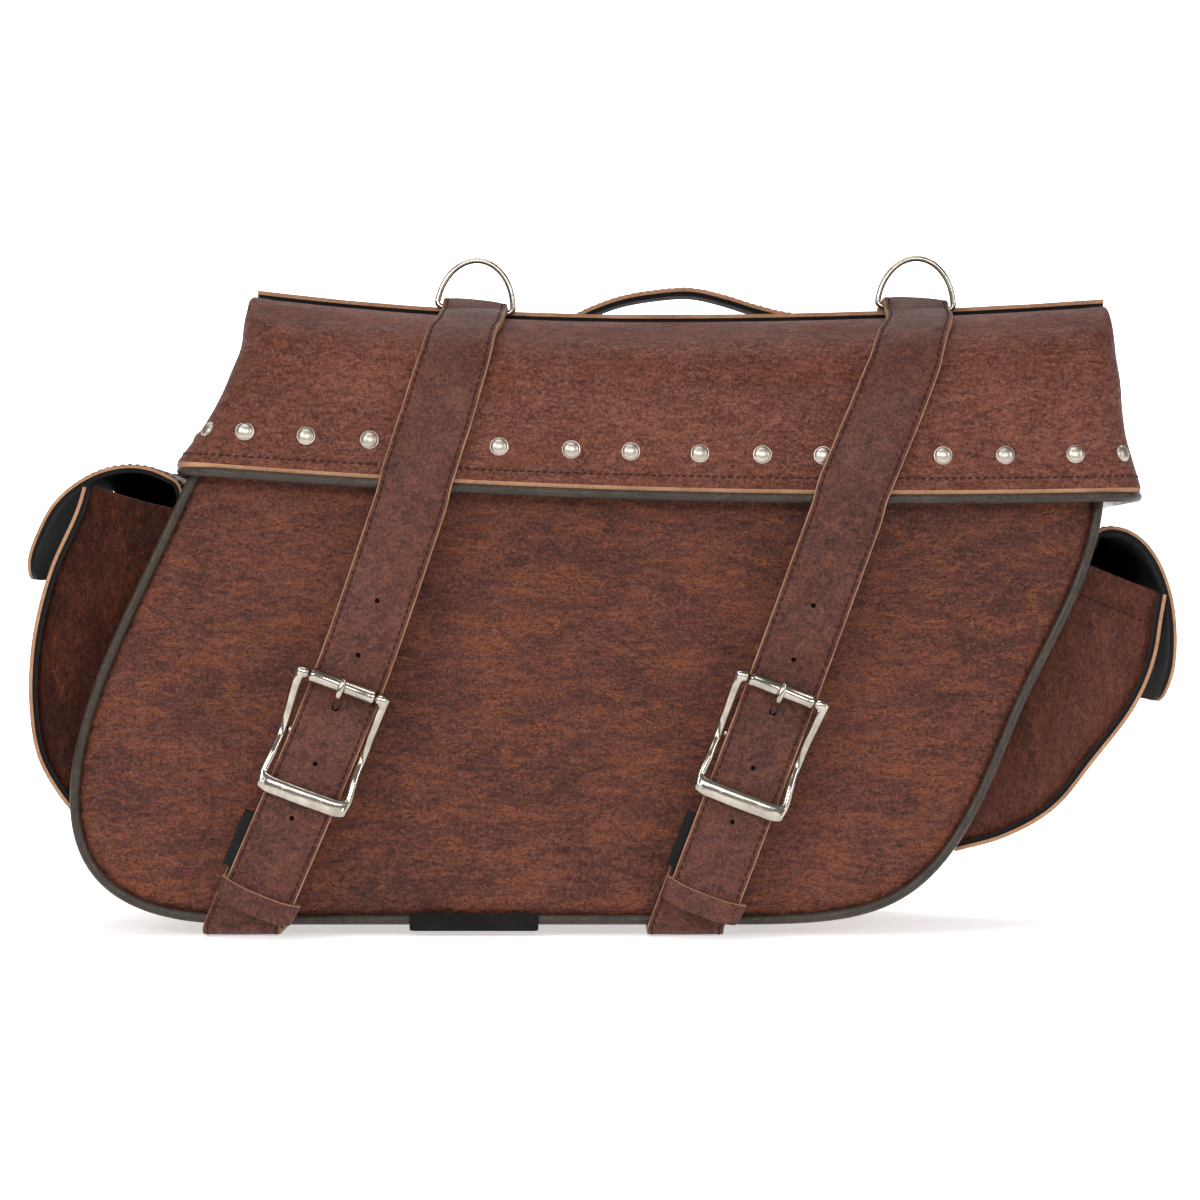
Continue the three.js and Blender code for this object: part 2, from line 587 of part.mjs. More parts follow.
function makeStrapHardware(name, spec, groups) {
  const place = (geometry, { x, z, tilt }, y) => geometry.rotateY(toRadians(tilt)).translate(x, y, z);
  const atBuckle = (geometry) => place(geometry, spec.buckle, STRAP_Y);
  const hole = atBuckle(box(PRONG_THICKNESS + 2.2, 20, 12, 0, 0, PRONG_HOLE_Z));
  addPiece(`strap_${name}_lower`, cut(lowerStrap(spec), hole), strapLeather, groups.strap);
  addPiece(`buckle_${name}_frame`, atBuckle(buckleFrame()), nickel, groups.strap);
  addPiece(`buckle_${name}_chape`, atBuckle(chape(58)), strapLeather, groups.strap);
  addPiece(`strap_${name}_keeper`, place(keeperLoop(), spec.end, STRAP_Y), strapLeather, groups.strap);
  addPiece(`clip_${name}_socket`, place(clipSocket(), spec.clip, -88.6), blackPlastic, groups.strap);
  addPiece(`buckle_${name}_roller`, atBuckle(roller().translate(0, ROLLER_Y, BUCKLE_TOP)), nickel, groups.roller);
  addPiece(`buckle_${name}_prong`, atBuckle(prong()), nickel, groups.prong);
  addPiece(`clip_${name}_plug`, place(clipPlug(), spec.clip, -87.3), blackPlastic, groups.plug);
}

// ---- assembly -----------------------------------------------------------------------------
function subGroup(parent) {
  const group = new THREE.Group();
  parent.add(group);
  return group;
}

makeBody();
makeLabelTab();
const lidGroup = subGroup(bag);
makeLid(lidGroup);
for (const [name, spec] of Object.entries(pockets)) {
  makePocket(name, spec, subGroup(bag));
}
for (const [name, spec] of Object.entries(straps)) {
  addPiece(`strap_${name}_upper`, upperStrap(spec), strapLeather, lidGroup);
  const ring = dRing().rotateY(toRadians(spec.topTilt)).translate(spec.topX, BAR_Y, barHeight(spec));
  addPiece(`d_ring_${name}`, ring, nickel, subGroup(lidGroup));
  addPiece(`bottom_strap_${name}`, bottomStrap(spec), strapLeather);
  const strap = subGroup(lidGroup);
  makeStrapHardware(name, spec, { strap, roller: subGroup(strap), prong: subGroup(strap), plug: subGroup(bag) });
}

// The frame's origin is the middle of the underside of the whole object's box.
bag.updateMatrixWorld(true);
const bounds = new THREE.Box3().setFromObject(bag);
const centre = bounds.getCenter(v3(0, 0, 0));
bag.position.set(-centre.x, -centre.y, -bounds.min.z);
bag.updateMatrixWorld(true);

export default bag;
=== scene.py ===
"""A slanted leather saddle bag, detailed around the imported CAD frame.

Shapes are worked out in the CAD source's own frame, in millimetres, and moved to the row frame
in metres when a mesh is made. Front is -Y, up is +Z.
"""

import math

import bmesh
import bpy
import numpy as np
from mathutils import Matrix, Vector, noise


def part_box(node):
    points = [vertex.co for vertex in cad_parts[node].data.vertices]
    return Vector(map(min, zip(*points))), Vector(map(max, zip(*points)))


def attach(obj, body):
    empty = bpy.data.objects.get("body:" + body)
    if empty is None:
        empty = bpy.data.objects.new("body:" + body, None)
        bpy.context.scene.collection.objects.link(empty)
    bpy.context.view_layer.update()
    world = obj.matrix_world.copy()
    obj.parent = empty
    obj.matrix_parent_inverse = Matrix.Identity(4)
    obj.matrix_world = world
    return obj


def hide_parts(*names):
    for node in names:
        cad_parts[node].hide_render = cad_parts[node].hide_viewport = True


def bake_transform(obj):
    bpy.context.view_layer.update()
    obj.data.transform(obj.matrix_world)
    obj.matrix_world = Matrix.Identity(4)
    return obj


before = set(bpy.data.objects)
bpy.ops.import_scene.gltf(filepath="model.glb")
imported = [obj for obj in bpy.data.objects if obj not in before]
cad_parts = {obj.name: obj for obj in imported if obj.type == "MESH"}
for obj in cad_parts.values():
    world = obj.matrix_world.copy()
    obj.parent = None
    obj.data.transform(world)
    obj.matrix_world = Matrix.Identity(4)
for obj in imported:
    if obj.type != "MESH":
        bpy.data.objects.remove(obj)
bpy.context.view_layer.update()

# ---- the frame ----------------------------------------------------------------------------
MM = 0.001
BOARD_X = -60  # the middle of the bottom board in the design frame, where its Y is 0
low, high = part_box("bottom_stiffener")
SHIFT = np.array([(low.x + high.x) / 2 / MM - BOARD_X, (low.y + high.y) / 2 / MM, 0.0])


def row(points):
    """Design millimetres to the row frame's metres."""
    return (np.asarray(points, float) + SHIFT) * MM


# ---- driving dimensions, as in the CAD source, in millimetres ------------------------------
PIPING_RADIUS = 2.75
SEAM_INSET = 3.15  # from the piping's centre line to the panels' edge
SEAM_FLOOR, SEAM_LEFT, SEAM_RIGHT = 8.3, -184, 68.7  # the seam's flat bottom: its height and ends
FRONT_FACE, BACK_FACE = -77.0, 77.0
FRONT_TOP, BACK_TOP = 294.0, 305.0
LEATHER = 3.6
LID_REAR = 70.0
STRAP_WIDTH, STRAP_THICKNESS = 37.5, 4.5
STRAP_Y = -97.0
GUSSET_HALF = 72.6


# ---- curves and grids ---------------------------------------------------------------------
def unit(vectors):
    vectors = np.asarray(vectors, float)
    return vectors / np.maximum(np.linalg.norm(vectors, axis=-1, keepdims=True), 1e-12)


def smooth_through(keys, knots, samples):
    """A smooth curve through keys, one per knot, read at samples. A key may be a whole row."""
    keys, knots = np.asarray(keys, float), np.asarray(knots, float)
    shape = (-1,) + (1,) * (keys.ndim - 1)
    gaps = np.diff(knots).reshape(shape)
    slopes = np.diff(keys, axis=0) / gaps
    inner = (slopes[1:] * gaps[:-1] + slopes[:-1] * gaps[1:]) / (gaps[1:] + gaps[:-1])
    tangents = np.concatenate([slopes[:1], inner, slopes[-1:]])
    at = np.clip(np.searchsorted(knots, samples, side="right") - 1, 0, len(knots) - 2)
    gap = (knots[at + 1] - knots[at]).reshape(shape)
    t = (np.asarray(samples, float) - knots[at]).reshape(shape) / gap
    return ((2 * t**3 - 3 * t**2 + 1) * keys[at] + (t**3 - 2 * t**2 + t) * gap * tangents[at]
            + (3 * t**2 - 2 * t**3) * keys[at + 1] + (t**3 - t**2) * gap * tangents[at + 1])


def lengths_along(points):
    steps = np.linalg.norm(np.diff(points, axis=0), axis=1)
    return np.concatenate([[0.0], np.cumsum(steps)])


def read_at(at, knots, values):
    """Rows of values, one per knot, read on straight lines between the knots."""
    return np.stack([np.interp(at, knots, values[:, k]) for k in range(values.shape[1])], -1)


def evenly(points, spacing):
    """The same line with points about spacing apart."""
    points = np.asarray(points, float)
    along = lengths_along(points)
    count = max(int(round(along[-1] / spacing)), 2) + 1
    return read_at(np.linspace(0, along[-1], count), along, points)


def spline(keys, spacing):
    """A smooth line through key points, with points about spacing apart."""
    keys = np.asarray(keys, float)
    knots = lengths_along(keys)
    fine = smooth_through(keys, knots, np.linspace(0, knots[-1], 40 * len(keys)))
    return evenly(fine, spacing)


def bezier(a, b, c, d, count):
    t = np.linspace(0, 1, count)[:, None]
    a, b, c, d = (np.asarray(p, float) for p in (a, b, c, d))
    return (1 - t)**3 * a + 3 * (1 - t)**2 * t * b + 3 * (1 - t) * t**2 * c + t**3 * d


def tangents_of(points):
    return unit(np.gradient(np.asarray(points, float), axis=0))


def left_of(line):
    """Unit vectors square to an XZ line, on the left of its direction."""
    along = tangents_of(line)
    return np.stack([-along[:, 1], along[:, 0]], 1)


def seam_edge(top, gap):
    """The seam's centre line moved into the bag by a gap."""
    line = seam_line(top)
    return line + gap * left_of(line)


def in_xz(points, y):
    """XZ points put into 3-D at one Y."""
    return np.stack([points[:, 0], np.full(len(points), float(y)), points[:, 1]], 1)


def swept_across(line, along_y):
    """A grid with an XZ line down it and Y values across it, the same or one set a row."""
    grid = np.zeros((len(line), np.shape(along_y)[-1], 3))
    grid[..., 0], grid[..., 1], grid[..., 2] = line[:, 0, None], along_y, line[:, 1, None]
    return grid


def push_out(grid, out, amounts):
    """Moves each row of a swept grid along its own XZ direction, by one amount or many."""
    grid[..., [0, 2]] += out[:, None] * np.asarray(amounts)[..., None]


def upward_normals(grid, place):
    """A grid's normals, turned so that the one at a place on its top points up."""
    normals = unit(np.cross(np.gradient(grid, axis=0), np.gradient(grid, axis=1)))
    return -normals if normals[place][2] < 0 else normals


def wavy(points, size, seed=0.0):
    """Smooth noise from -1 to 1 at each point, with bumps about size millimetres across."""
    flat = np.asarray(points, float).reshape(-1, 3) / size + seed
    values = np.array([noise.noise(Vector(p)) for p in flat])
    return values.reshape(np.asarray(points).shape[:-1])


def full_turn(count):
    return np.linspace(0, 2 * math.pi, count, endpoint=False)


def smooth_step(values, start, end):
    t = np.clip((np.asarray(values, float) - start) / (end - start), 0, 1)
    return t * t * (3 - 2 * t)


# ---- mesh making --------------------------------------------------------------------------
class Builder:
    """Collects points and faces in design millimetres, then makes one object of them."""

    def __init__(self):
        self.points, self.faces, self.finishes = [], [], []
        self.count = 0

    def add(self, points, faces, finish=0):
        """Adds points and the faces numbered from them, and gives the first point's number."""
        points = np.asarray(points, float).reshape(-1, 3)
        start = self.count
        self.points.append(points)
        self.faces += [[int(i) + start for i in face] for face in faces]
        finishes = [finish] * len(faces) if np.isscalar(finish) else list(finish)
        self.finishes += [int(f) for f in finishes]
        self.count += len(points)
        return start

    def join(self, faces, finish=0):
        """Adds faces between points that are already here."""
        self.add(np.zeros((0, 3)), [np.asarray(face) - self.count for face in faces], finish)

    def make(self, name, materials, sharp=40.0):
        mesh = bpy.data.meshes.new(name)
        mesh.from_pydata(row(np.concatenate(self.points)).tolist(), [], self.faces)
        for material in materials:
            mesh.materials.append(material)
        mesh.polygons.foreach_set("material_index", self.finishes)
        work = bmesh.new()
        work.from_mesh(mesh)
        bmesh.ops.recalc_face_normals(work, faces=work.faces)
        work.to_mesh(mesh)
        work.free()
        mesh.polygons.foreach_set("use_smooth", [True] * len(mesh.polygons))
        mesh.set_sharp_from_angle(angle=math.radians(sharp))
        made = bpy.data.objects.new(name, mesh)
        bpy.context.scene.collection.objects.link(made)
        return made


def quads(rows, cols, close_rows=False, close_cols=False):
    """The four-sided faces of a grid of points, closed on itself either way if asked."""
    r = np.arange(rows if close_rows else rows - 1)[:, None]
    c = np.arange(cols if close_cols else cols - 1)[None, :]
    r2, c2 = (r + 1) % rows, (c + 1) % cols
    return np.stack([r * cols + c, r * cols + c2, r2 * cols + c2, r2 * cols + c], -1).reshape(-1, 4)


def rim_loop(rows, cols):
    """Point numbers round the edge of an open grid."""
    top = [(0, c) for c in range(cols)]
    right = [(r, cols - 1) for r in range(1, rows)]
    bottom = [(rows - 1, c) for c in range(cols - 2, -1, -1)]
    left = [(r, 0) for r in range(rows - 2, 0, -1)]
    return np.array(top + right + bottom + left)


SKIN, TAN, LINING = 0, 1, 2  # a leather piece's face, raw edge and back
RAW_EDGE = [(0.06, 0.35, SKIN), (0.62, 0.4, TAN), (0.94, 0.3, LINING)]


def layers(skin):
    return [skin, EDGE, BLACK]


def add_sheet(builder, outer, inner, rim=RAW_EDGE):
    """A closed sheet between two grids. rim holds (share of the thickness, how far it stands out,
    finish of the band that leads to it), and its last band leads to the back."""
    rows, cols = outer.shape[:2]
    first = builder.add(outer, quads(rows, cols), SKIN)
    second = builder.add(inner, quads(rows, cols), LINING)
    loop = rim_loop(rows, cols)
    flat = loop[:, 0] * cols + loop[:, 1]
    edge_out, edge_in = outer.reshape(-1, 3)[flat], inner.reshape(-1, 3)[flat]
    beside = np.clip(loop, 1, [rows - 2, cols - 2])
    outward = unit(edge_out - outer[beside[:, 0], beside[:, 1]])
    rings = [first + flat]
    for share, stand, _ in rim:
        ring = edge_out + share * (edge_in - edge_out) + stand * outward
        rings.append(builder.add(ring, []) + np.arange(len(flat)))
    rings.append(second + flat)
    finishes = [finish for *_, finish in rim] + [LINING]
    for near, far, finish in zip(rings[:-1], rings[1:], finishes):
        builder.join(np.stack([near, np.roll(near, -1), np.roll(far, -1), far], 1), finish)


def make_sheet(name, skin, outer, inner, rim=RAW_EDGE):
    """A piece of leather between two grids, with a raw edge and a black back."""
    builder = Builder()
    add_sheet(builder, outer, inner, rim)
    return builder.make(name, layers(skin))


def add_sweep(builder, path, wide, out, halves, section, finishes, end_finish=TAN, closed=False):
    """A band or bar along a path. Each section point is (share of the half width, inset, depth)."""
    section = np.asarray(section, float)
    halves = np.broadcast_to(np.asarray(halves, float), (len(path),))
    across = section[:, 0] * halves[:, None] - np.sign(section[:, 0]) * section[:, 1]
    rings = (path[:, None] + across[..., None] * wide[:, None]
             + section[None, :, 2, None] * out[:, None])
    rows, cols = rings.shape[:2]
    start = builder.add(rings, quads(rows, cols, close_rows=closed, close_cols=True),
                        np.tile(finishes, rows if closed else rows - 1))
    if not closed:
        first_ring = np.arange(cols) + start
        builder.join([first_ring, first_ring[::-1] + (rows - 1) * cols], end_finish)


def add_tube(builder, path, radius, sides, side=(0, 1, 0), closed=False):
    """A round bar along a path that bends square to side, of one radius or one per point."""
    along = unit(np.roll(path, -1, 0) - np.roll(path, 1, 0)) if closed else tangents_of(path)
    across = unit(np.cross(along, np.broadcast_to(np.asarray(side, float), path.shape)))
    up = unit(np.cross(across, along)) * np.reshape(np.broadcast_to(radius, len(path)), (-1, 1))
    turn = full_turn(sides)
    section = np.stack([np.cos(turn), np.zeros(sides), np.sin(turn)], 1)
    add_sweep(builder, path, across, up, radius, section, [SKIN] * sides, SKIN, closed)


STITCH_PITCH, STITCH_LENGTH, STITCH_RADIUS, STITCH_LEAN = 4.0, 3.0, 0.55, math.radians(9)
# Each ring of a stitch: its place along the length, its size, and how deep it sits in radii.
STITCH_RINGS = ((-0.36, 0.85, 0.24), (0, 1.0, 0.0), (0.36, 0.85, 0.24))
STITCH_TIP_DEPTH = 0.7


def stitch_faces(sides):
    """The faces of one stitch: three rings of points, then its low and high tips."""
    k = np.arange(sides)
    k2 = (k + 1) % sides
    low_tip, high_tip = np.full(sides, 3 * sides), np.full(sides, 3 * sides + 1)
    return (quads(3, sides, close_cols=True).tolist() + np.stack([low_tip, k2, k], 1).tolist()
            + np.stack([high_tip, 2 * sides + k, 2 * sides + k2], 1).tolist())


def add_stitches(builder, path, normals):
    """A row of thread stitches lying on a surface."""
    along = lengths_along(path)
    count = max(int(along[-1] / STITCH_PITCH), 1)
    at = (np.arange(count) + 0.5) * along[-1] / count
    centre = read_at(at, along, path)
    tangent = unit(read_at(at, along, tangents_of(path)))
    normal = unit(read_at(at, along, normals))
    side = unit(np.cross(normal, tangent))
    tangent, side = (tangent * math.cos(STITCH_LEAN) + side * math.sin(STITCH_LEAN),
                     side * math.cos(STITCH_LEAN) - tangent * math.sin(STITCH_LEAN))
    turn = full_turn(6)
    faces = stitch_faces(len(turn))
    for c, t, n, s in zip(centre, tangent, normal, side):
        circle = STITCH_RADIUS * (np.outer(np.cos(turn), s) + np.outer(np.sin(turn), n))
        rings = [c + t * reach * STITCH_LENGTH - n * depth * STITCH_RADIUS + size * circle
                 for reach, size, depth in STITCH_RINGS]
        half, sunk = t * STITCH_LENGTH / 2, c - n * STITCH_RADIUS * STITCH_TIP_DEPTH
        builder.add(np.concatenate(rings + [np.array([sunk - half, sunk + half])]), faces)


def make_stitches(name, lines):
    """One piece of thread from lines of (points, normals)."""
    builder = Builder()
    for path, normals in lines:
        add_stitches(builder, path, normals)
    return builder.make(name, [THREAD], sharp=180)


# ---- materials ----------------------------------------------------------------------------
def srgb(red, green, blue):
    """A colour read from a picture, 0 to 255, as a linear shader colour."""
    def linear(value):
        value /= 255
        return value / 12.92 if value <= 0.04045 else ((value + 0.055) / 1.055) ** 2.4
    return (linear(red), linear(green), linear(blue), 1.0)


class Shader:
    """A node material and a short way to add nodes to it."""

    def __init__(self, name, **constants):
        self.material = bpy.data.materials.new(name)
        self.material.use_nodes = True
        self.tree = self.material.node_tree
        self.surface = next(n for n in self.tree.nodes if n.type == "BSDF_PRINCIPLED")
        self.put(self.surface, constants)

    def fill(self, socket, value):
        """Links another node's output to a socket, or sets a plain value."""
        if isinstance(value, bpy.types.NodeSocket):
            self.tree.links.new(value, socket)
        else:
            socket.default_value = value

    def put(self, node, values):
        for key, value in values.items():
            self.fill(node.inputs[key], value)

    def node(self, kind, inputs, output=0, **settings):
        made = self.tree.nodes.new("ShaderNode" + kind)
        for key, value in settings.items():
            setattr(made, key, value)
        self.put(made, inputs)
        return made.outputs[output]

    def place(self, stretch=(1, 1, 1)):
        coordinates = self.node("TexCoord", {}, output=3)
        return self.node("Mapping", {"Vector": coordinates, "Scale": stretch})

    def noise(self, where, scale, detail=3.0, roughness=0.5, distortion=0.0):
        return self.node("TexNoise", {"Vector": where, "Scale": scale, "Detail": detail,
                                      "Roughness": roughness, "Distortion": distortion})

    def math(self, operation, first, second=0.0, clamp=False):
        return self.node("Math", {0: first, 1: second}, operation=operation, use_clamp=clamp)

    def plus(self, first, second):
        return self.math("ADD", first, second)

    def times(self, first, second):
        return self.math("MULTIPLY", first, second)

    def ranged(self, value, start, end, low=0.0, high=1.0):
        return self.node("MapRange", {"Value": value, "From Min": start, "From Max": end,
                                      "To Min": low, "To Max": high}, clamp=True)

    def mix(self, share, first, second):
        made = self.tree.nodes.new("ShaderNodeMix")
        made.data_type = "RGBA"
        colours = {s.name: s for s in made.inputs if s.type == "RGBA"}
        self.fill(made.inputs[0], share)
        self.fill(colours["A"], first)
        self.fill(colours["B"], second)
        return next(s for s in made.outputs if s.type == "RGBA")

    def bump(self, height, distance, strength=1.0, after=None):
        inputs = {"Height": height, "Distance": distance, "Strength": strength}
        if after is not None:
            inputs["Normal"] = after
        return self.node("Bump", inputs)

    def finish(self, **links):
        self.put(self.surface, {key.replace("_", " "): value for key, value in links.items()})
        return self.material


def crease_lines(shader, where, scale, width, detail, distortion):
    """1 on thin wandering lines, 0 between them."""
    field = shader.noise(where, scale, detail, 0.6, distortion)
    ridge = shader.math("ABSOLUTE", shader.math("SUBTRACT", field, 0.5))
    return shader.ranged(ridge, 0.0, width, 1.0, 0.0)


def worn_creases(shader, drawn, stretch):
    """Long and fine crease lines, strongest in worn patches."""
    long_lines = crease_lines(shader, drawn, 46.0, 0.026, 9.0, 2.6)
    less_drawn = shader.place((stretch[0], stretch[1], stretch[2] * 0.7))
    fine_lines = crease_lines(shader, less_drawn, 150.0, 0.055, 7.0, 2.2)
    worn = shader.ranged(shader.noise(drawn, 30.0, 5.0, 0.7, 1.0), 0.46, 0.6)
    lines = shader.math("MAXIMUM", long_lines, shader.times(fine_lines, 0.75))
    return shader.times(lines, shader.plus(shader.times(worn, 0.9), 0.1))


def leather(name, dark, mid, light, crease=(176, 102, 64), stretch=(1, 1, 2.8), rough=0.44,
            creased=0.6, grain=1.0, shine=0.24):
    """Oiled, distressed leather: mottled, with light creases, pores and a soft gloss."""
    dark, mid, light, crease = (srgb(*colour) for colour in (dark, mid, light, crease))
    s = Shader(name, **{"Specular IOR Level": shine, "Coat Weight": 0.2 * shine,
                        "Coat Roughness": 0.3})
    even, drawn = s.place(), s.place(stretch)
    cloud = s.noise(even, 13.0, 5.0, 0.6, 0.5)
    patch = s.noise(drawn, 120.0, 6.0, 0.75, 1.2)
    fleck = s.noise(even, 620.0, 4.0, 0.8, 0.4)
    shade = s.plus(s.plus(s.times(cloud, 0.14), s.times(patch, 0.38)), s.times(fleck, 0.48))
    lower = s.mix(s.ranged(shade, 0.41, 0.5), dark, mid)
    colour = s.mix(s.ranged(shade, 0.5, 0.59), lower, light)
    lines = worn_creases(s, drawn, stretch)
    colour = s.mix(s.math("MULTIPLY", lines, creased, clamp=True), colour, crease)
    pores = s.node("TexVoronoi", {"Vector": even, "Scale": 1100.0}, feature="DISTANCE_TO_EDGE")
    pores = s.ranged(pores, 0.0, 0.2)
    colour = s.mix(s.times(s.math("SUBTRACT", 1.0, pores), 0.3), colour, dark)
    normal = s.bump(pores, 0.00012 * grain, 0.8)
    normal = s.bump(fleck, 0.0004 * grain, 0.9, normal)
    normal = s.bump(s.times(lines, -1.0), 0.0002, 0.8, normal)
    normal = s.bump(patch, 0.0011 * grain, 0.6, normal)
    gloss = s.ranged(shade, 0.4, 0.6, rough + 0.08, rough - 0.05)
    roughness = s.plus(gloss, s.times(lines, 0.16))
    return s.finish(Base_Color=colour, Roughness=roughness, Normal=normal)


def fibrous(name, base, worn, rough=0.85, scale=700.0, sheen=0.0, depth=0.00015):
    """A raw edge, thread, board or brushed lining."""
    s = Shader(name, **{"Sheen Weight": sheen, "Specular IOR Level": 0.25, "Sheen Roughness": 0.5})
    where = s.place()
    strands = s.noise(where, scale, 5.0, 0.7, 0.8)
    patches = s.noise(where, scale / 12, 3.0)
    mixed = s.plus(s.times(strands, 0.6), s.times(patches, 0.4))
    colour = s.mix(s.ranged(mixed, 0.38, 0.62), srgb(*worn), srgb(*base))
    roughness = s.ranged(strands, 0.3, 0.7, rough - 0.08, rough + 0.06)
    return s.finish(Base_Color=colour, Roughness=roughness, Normal=s.bump(strands, depth, 0.9))


def metal(name, base, tarnish, rough=0.1):
    """Plated metal with faint clouds and fine scratches. Its colours are linear."""
    s = Shader(name, **{"Metallic": 1.0})
    cloud = s.noise(s.place(), 90.0, 4.0, 0.6)
    scratch = s.noise(s.place((1, 1, 14)), 420.0, 4.0, 0.7)
    colour = s.mix(s.ranged(cloud, 0.35, 0.7), (*base, 1.0), (*tarnish, 1.0))
    roughness = s.plus(s.ranged(cloud, 0.3, 0.7, rough, rough + 0.1), s.times(scratch, 0.05))
    return s.finish(Base_Color=colour, Roughness=roughness, Normal=s.bump(cloud, 0.0001, 0.2))


def moulded(name, base, lift, rough=0.45):
    """Matt moulded plastic."""
    s = Shader(name, **{"Specular IOR Level": 0.2})
    where = s.place()
    spark = s.noise(where, 1500.0, 3.0, 0.6)
    cloud = s.noise(where, 60.0, 2.0)
    base = srgb(*base)
    lighter = (*(lift * channel for channel in base[:3]), 1.0)
    colour = s.mix(s.ranged(cloud, 0.3, 0.7), base, lighter)
    roughness = s.ranged(spark, 0.3, 0.7, rough - 0.06, rough + 0.08)
    return s.finish(Base_Color=colour, Roughness=roughness, Normal=s.bump(spark, 0.00006, 0.5))


BODY = leather("body_leather", (36, 15, 12), (85, 43, 34), (130, 73, 56), creased=0.85)
LID = leather("lid_leather", (62, 31, 24), (108, 64, 53), (150, 96, 79), rough=0.48, creased=0.4,
              shine=0.12)
STRAP = leather("strap_leather", (50, 25, 20), (89, 51, 43), (124, 74, 61), stretch=(1, 1, 1.3),
                creased=0.3)
POCKET = leather("pocket_leather", (50, 24, 18), (82, 43, 34), (116, 66, 51), stretch=(2.4, 1, 1),
                 creased=0.45, shine=0.16)
DARK_POCKET = leather("dark_pocket_leather", (30, 12, 8), (50, 22, 15), (80, 38, 26),
                      stretch=(2.4, 1, 1), creased=0.3, shine=0.08)
PIPING = leather("piping_leather", (38, 31, 25), (60, 50, 42), (76, 64, 54), (84, 70, 58),
                 (1, 1, 1), rough=0.25, creased=0.12, grain=0.25, shine=0.32)
EDGE = fibrous("raw_tan_edge", (190, 146, 112), (150, 106, 78))
BLACK = fibrous("black_lining", (24, 21, 22), (8, 7, 8), rough=0.92, sheen=0.08, depth=0.0004)
THREAD = fibrous("brown_thread", (66, 31, 23), (40, 18, 14), rough=0.6, scale=1600.0)
BOARD = fibrous("fibre_board", (52, 48, 45), (36, 33, 31), scale=350.0)
NICKEL = metal("nickel_plate", (0.6, 0.54, 0.46), (0.34, 0.3, 0.25))
STUD = metal("frosted_nickel", (0.62, 0.56, 0.48), (0.46, 0.41, 0.35), rough=0.3)
PLASTIC = moulded("black_plastic", (11, 11, 12), 1.5)


# ---- bodies and CAD nodes -----------------------------------------------------------------
def stand_for(nodes):
    if nodes:
        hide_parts(*nodes)


def placed(piece, body, slot, *nodes):
    """piece rides on a CAD body and stands for CAD nodes. slot is not used."""
    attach(piece, body)
    stand_for(nodes)


def bent(piece, bodies, ends, slot, *nodes):
    """For a piece that spans two bodies: bakes its placement into its mesh and stands for CAD
    nodes. bodies, ends and slot are not used.
    """
    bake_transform(piece)
    stand_for(nodes)


# ---- body ---------------------------------------------------------------------------------
PANEL_ROWS, PANEL_COLS = 104, 150


def seam_line(top):
    """The side seam's centre line in XZ, from the top left down and round to the top right."""
    parts = [
        np.linspace((-212.6 + 0.6 * (top - 241.8), top), (-212.6, 241.8), 12),
        np.linspace((-212.6, 241.8), (-247.5, 168), 16),
        bezier((-247.5, 168), (-317.8, 19.4), (-241.4, SEAM_FLOOR), (SEAM_LEFT, SEAM_FLOOR), 60),
        np.linspace((SEAM_LEFT, SEAM_FLOOR), (SEAM_RIGHT, SEAM_FLOOR), 50),
        bezier((SEAM_RIGHT, SEAM_FLOOR), (150.3, SEAM_FLOOR), (176.6, 11.6), (213.9, 107), 50),
        bezier((213.9, 107), (230.2, 148.9), (259.8, 187), (262, 232), 40),
        np.linspace((262, 232), (262 - 0.06 * (top - 232), top), 14),
    ]
    joined = np.concatenate([parts[0]] + [p[1:] for p in parts[1:]])
    return evenly(joined, 2.5)


def side_x(outline, heights, left):
    """Where an outline's left or right side is at each height."""
    floor_end = SEAM_LEFT if left else SEAM_RIGHT
    lowest = np.argmin(outline[:, 1] + 1e-6 * abs(outline[:, 0] - floor_end))
    part = outline[:lowest + 1][::-1] if left else outline[lowest:]
    return np.interp(heights, part[:, 1], part[:, 0])


def edge_distance(grid, outline):
    points = grid[..., [0, 2]].reshape(-1, 2)
    gaps = np.linalg.norm(points[:, None] - outline[None], axis=2).min(1)
    return gaps.reshape(grid.shape[:2])


def make_panel(side, top, face, outward, seed):
    """A crowned panel whose edge rolls back to its seam."""
    outline = seam_edge(top, SEAM_INSET - 1.4)
    floor = outline[:, 1].min()
    heights = floor + (top - floor) * np.linspace(0, 1, PANEL_ROWS) ** 1.7
    left, right = side_x(outline, heights, True), side_x(outline, heights, False)
    # Columns closer together toward both sides.
    share = 0.5 - 0.5 * np.cos(np.linspace(0, math.pi, PANEL_COLS))
    share = 0.45 * share + 0.55 * np.linspace(0, 1, PANEL_COLS)
    x = left[:, None] + (right - left)[:, None] * share
    grid = np.stack([x, np.full(x.shape, face), np.broadcast_to(heights[:, None], x.shape)], -1)
    gap = edge_distance(grid, outline)
    roll = -3.2 * np.exp(-gap / 3.2) - 1.1 * np.exp(-gap / 11)
    crown = 1.5 * (1 - np.exp(-gap / 55))
    waves = 0.7 * wavy(grid * [1, 0, 1.8], 62, seed) * (1 - np.exp(-gap / 25))
    grid[..., 1] += outward * (roll + crown + waves)
    inner = grid.copy()
    inner[..., 1] = face - outward * LEATHER
    panel = make_sheet(f"{side}_panel_leather", BODY, grid, inner)
    placed(panel, "root", "body_leather", f"{side}_panel")


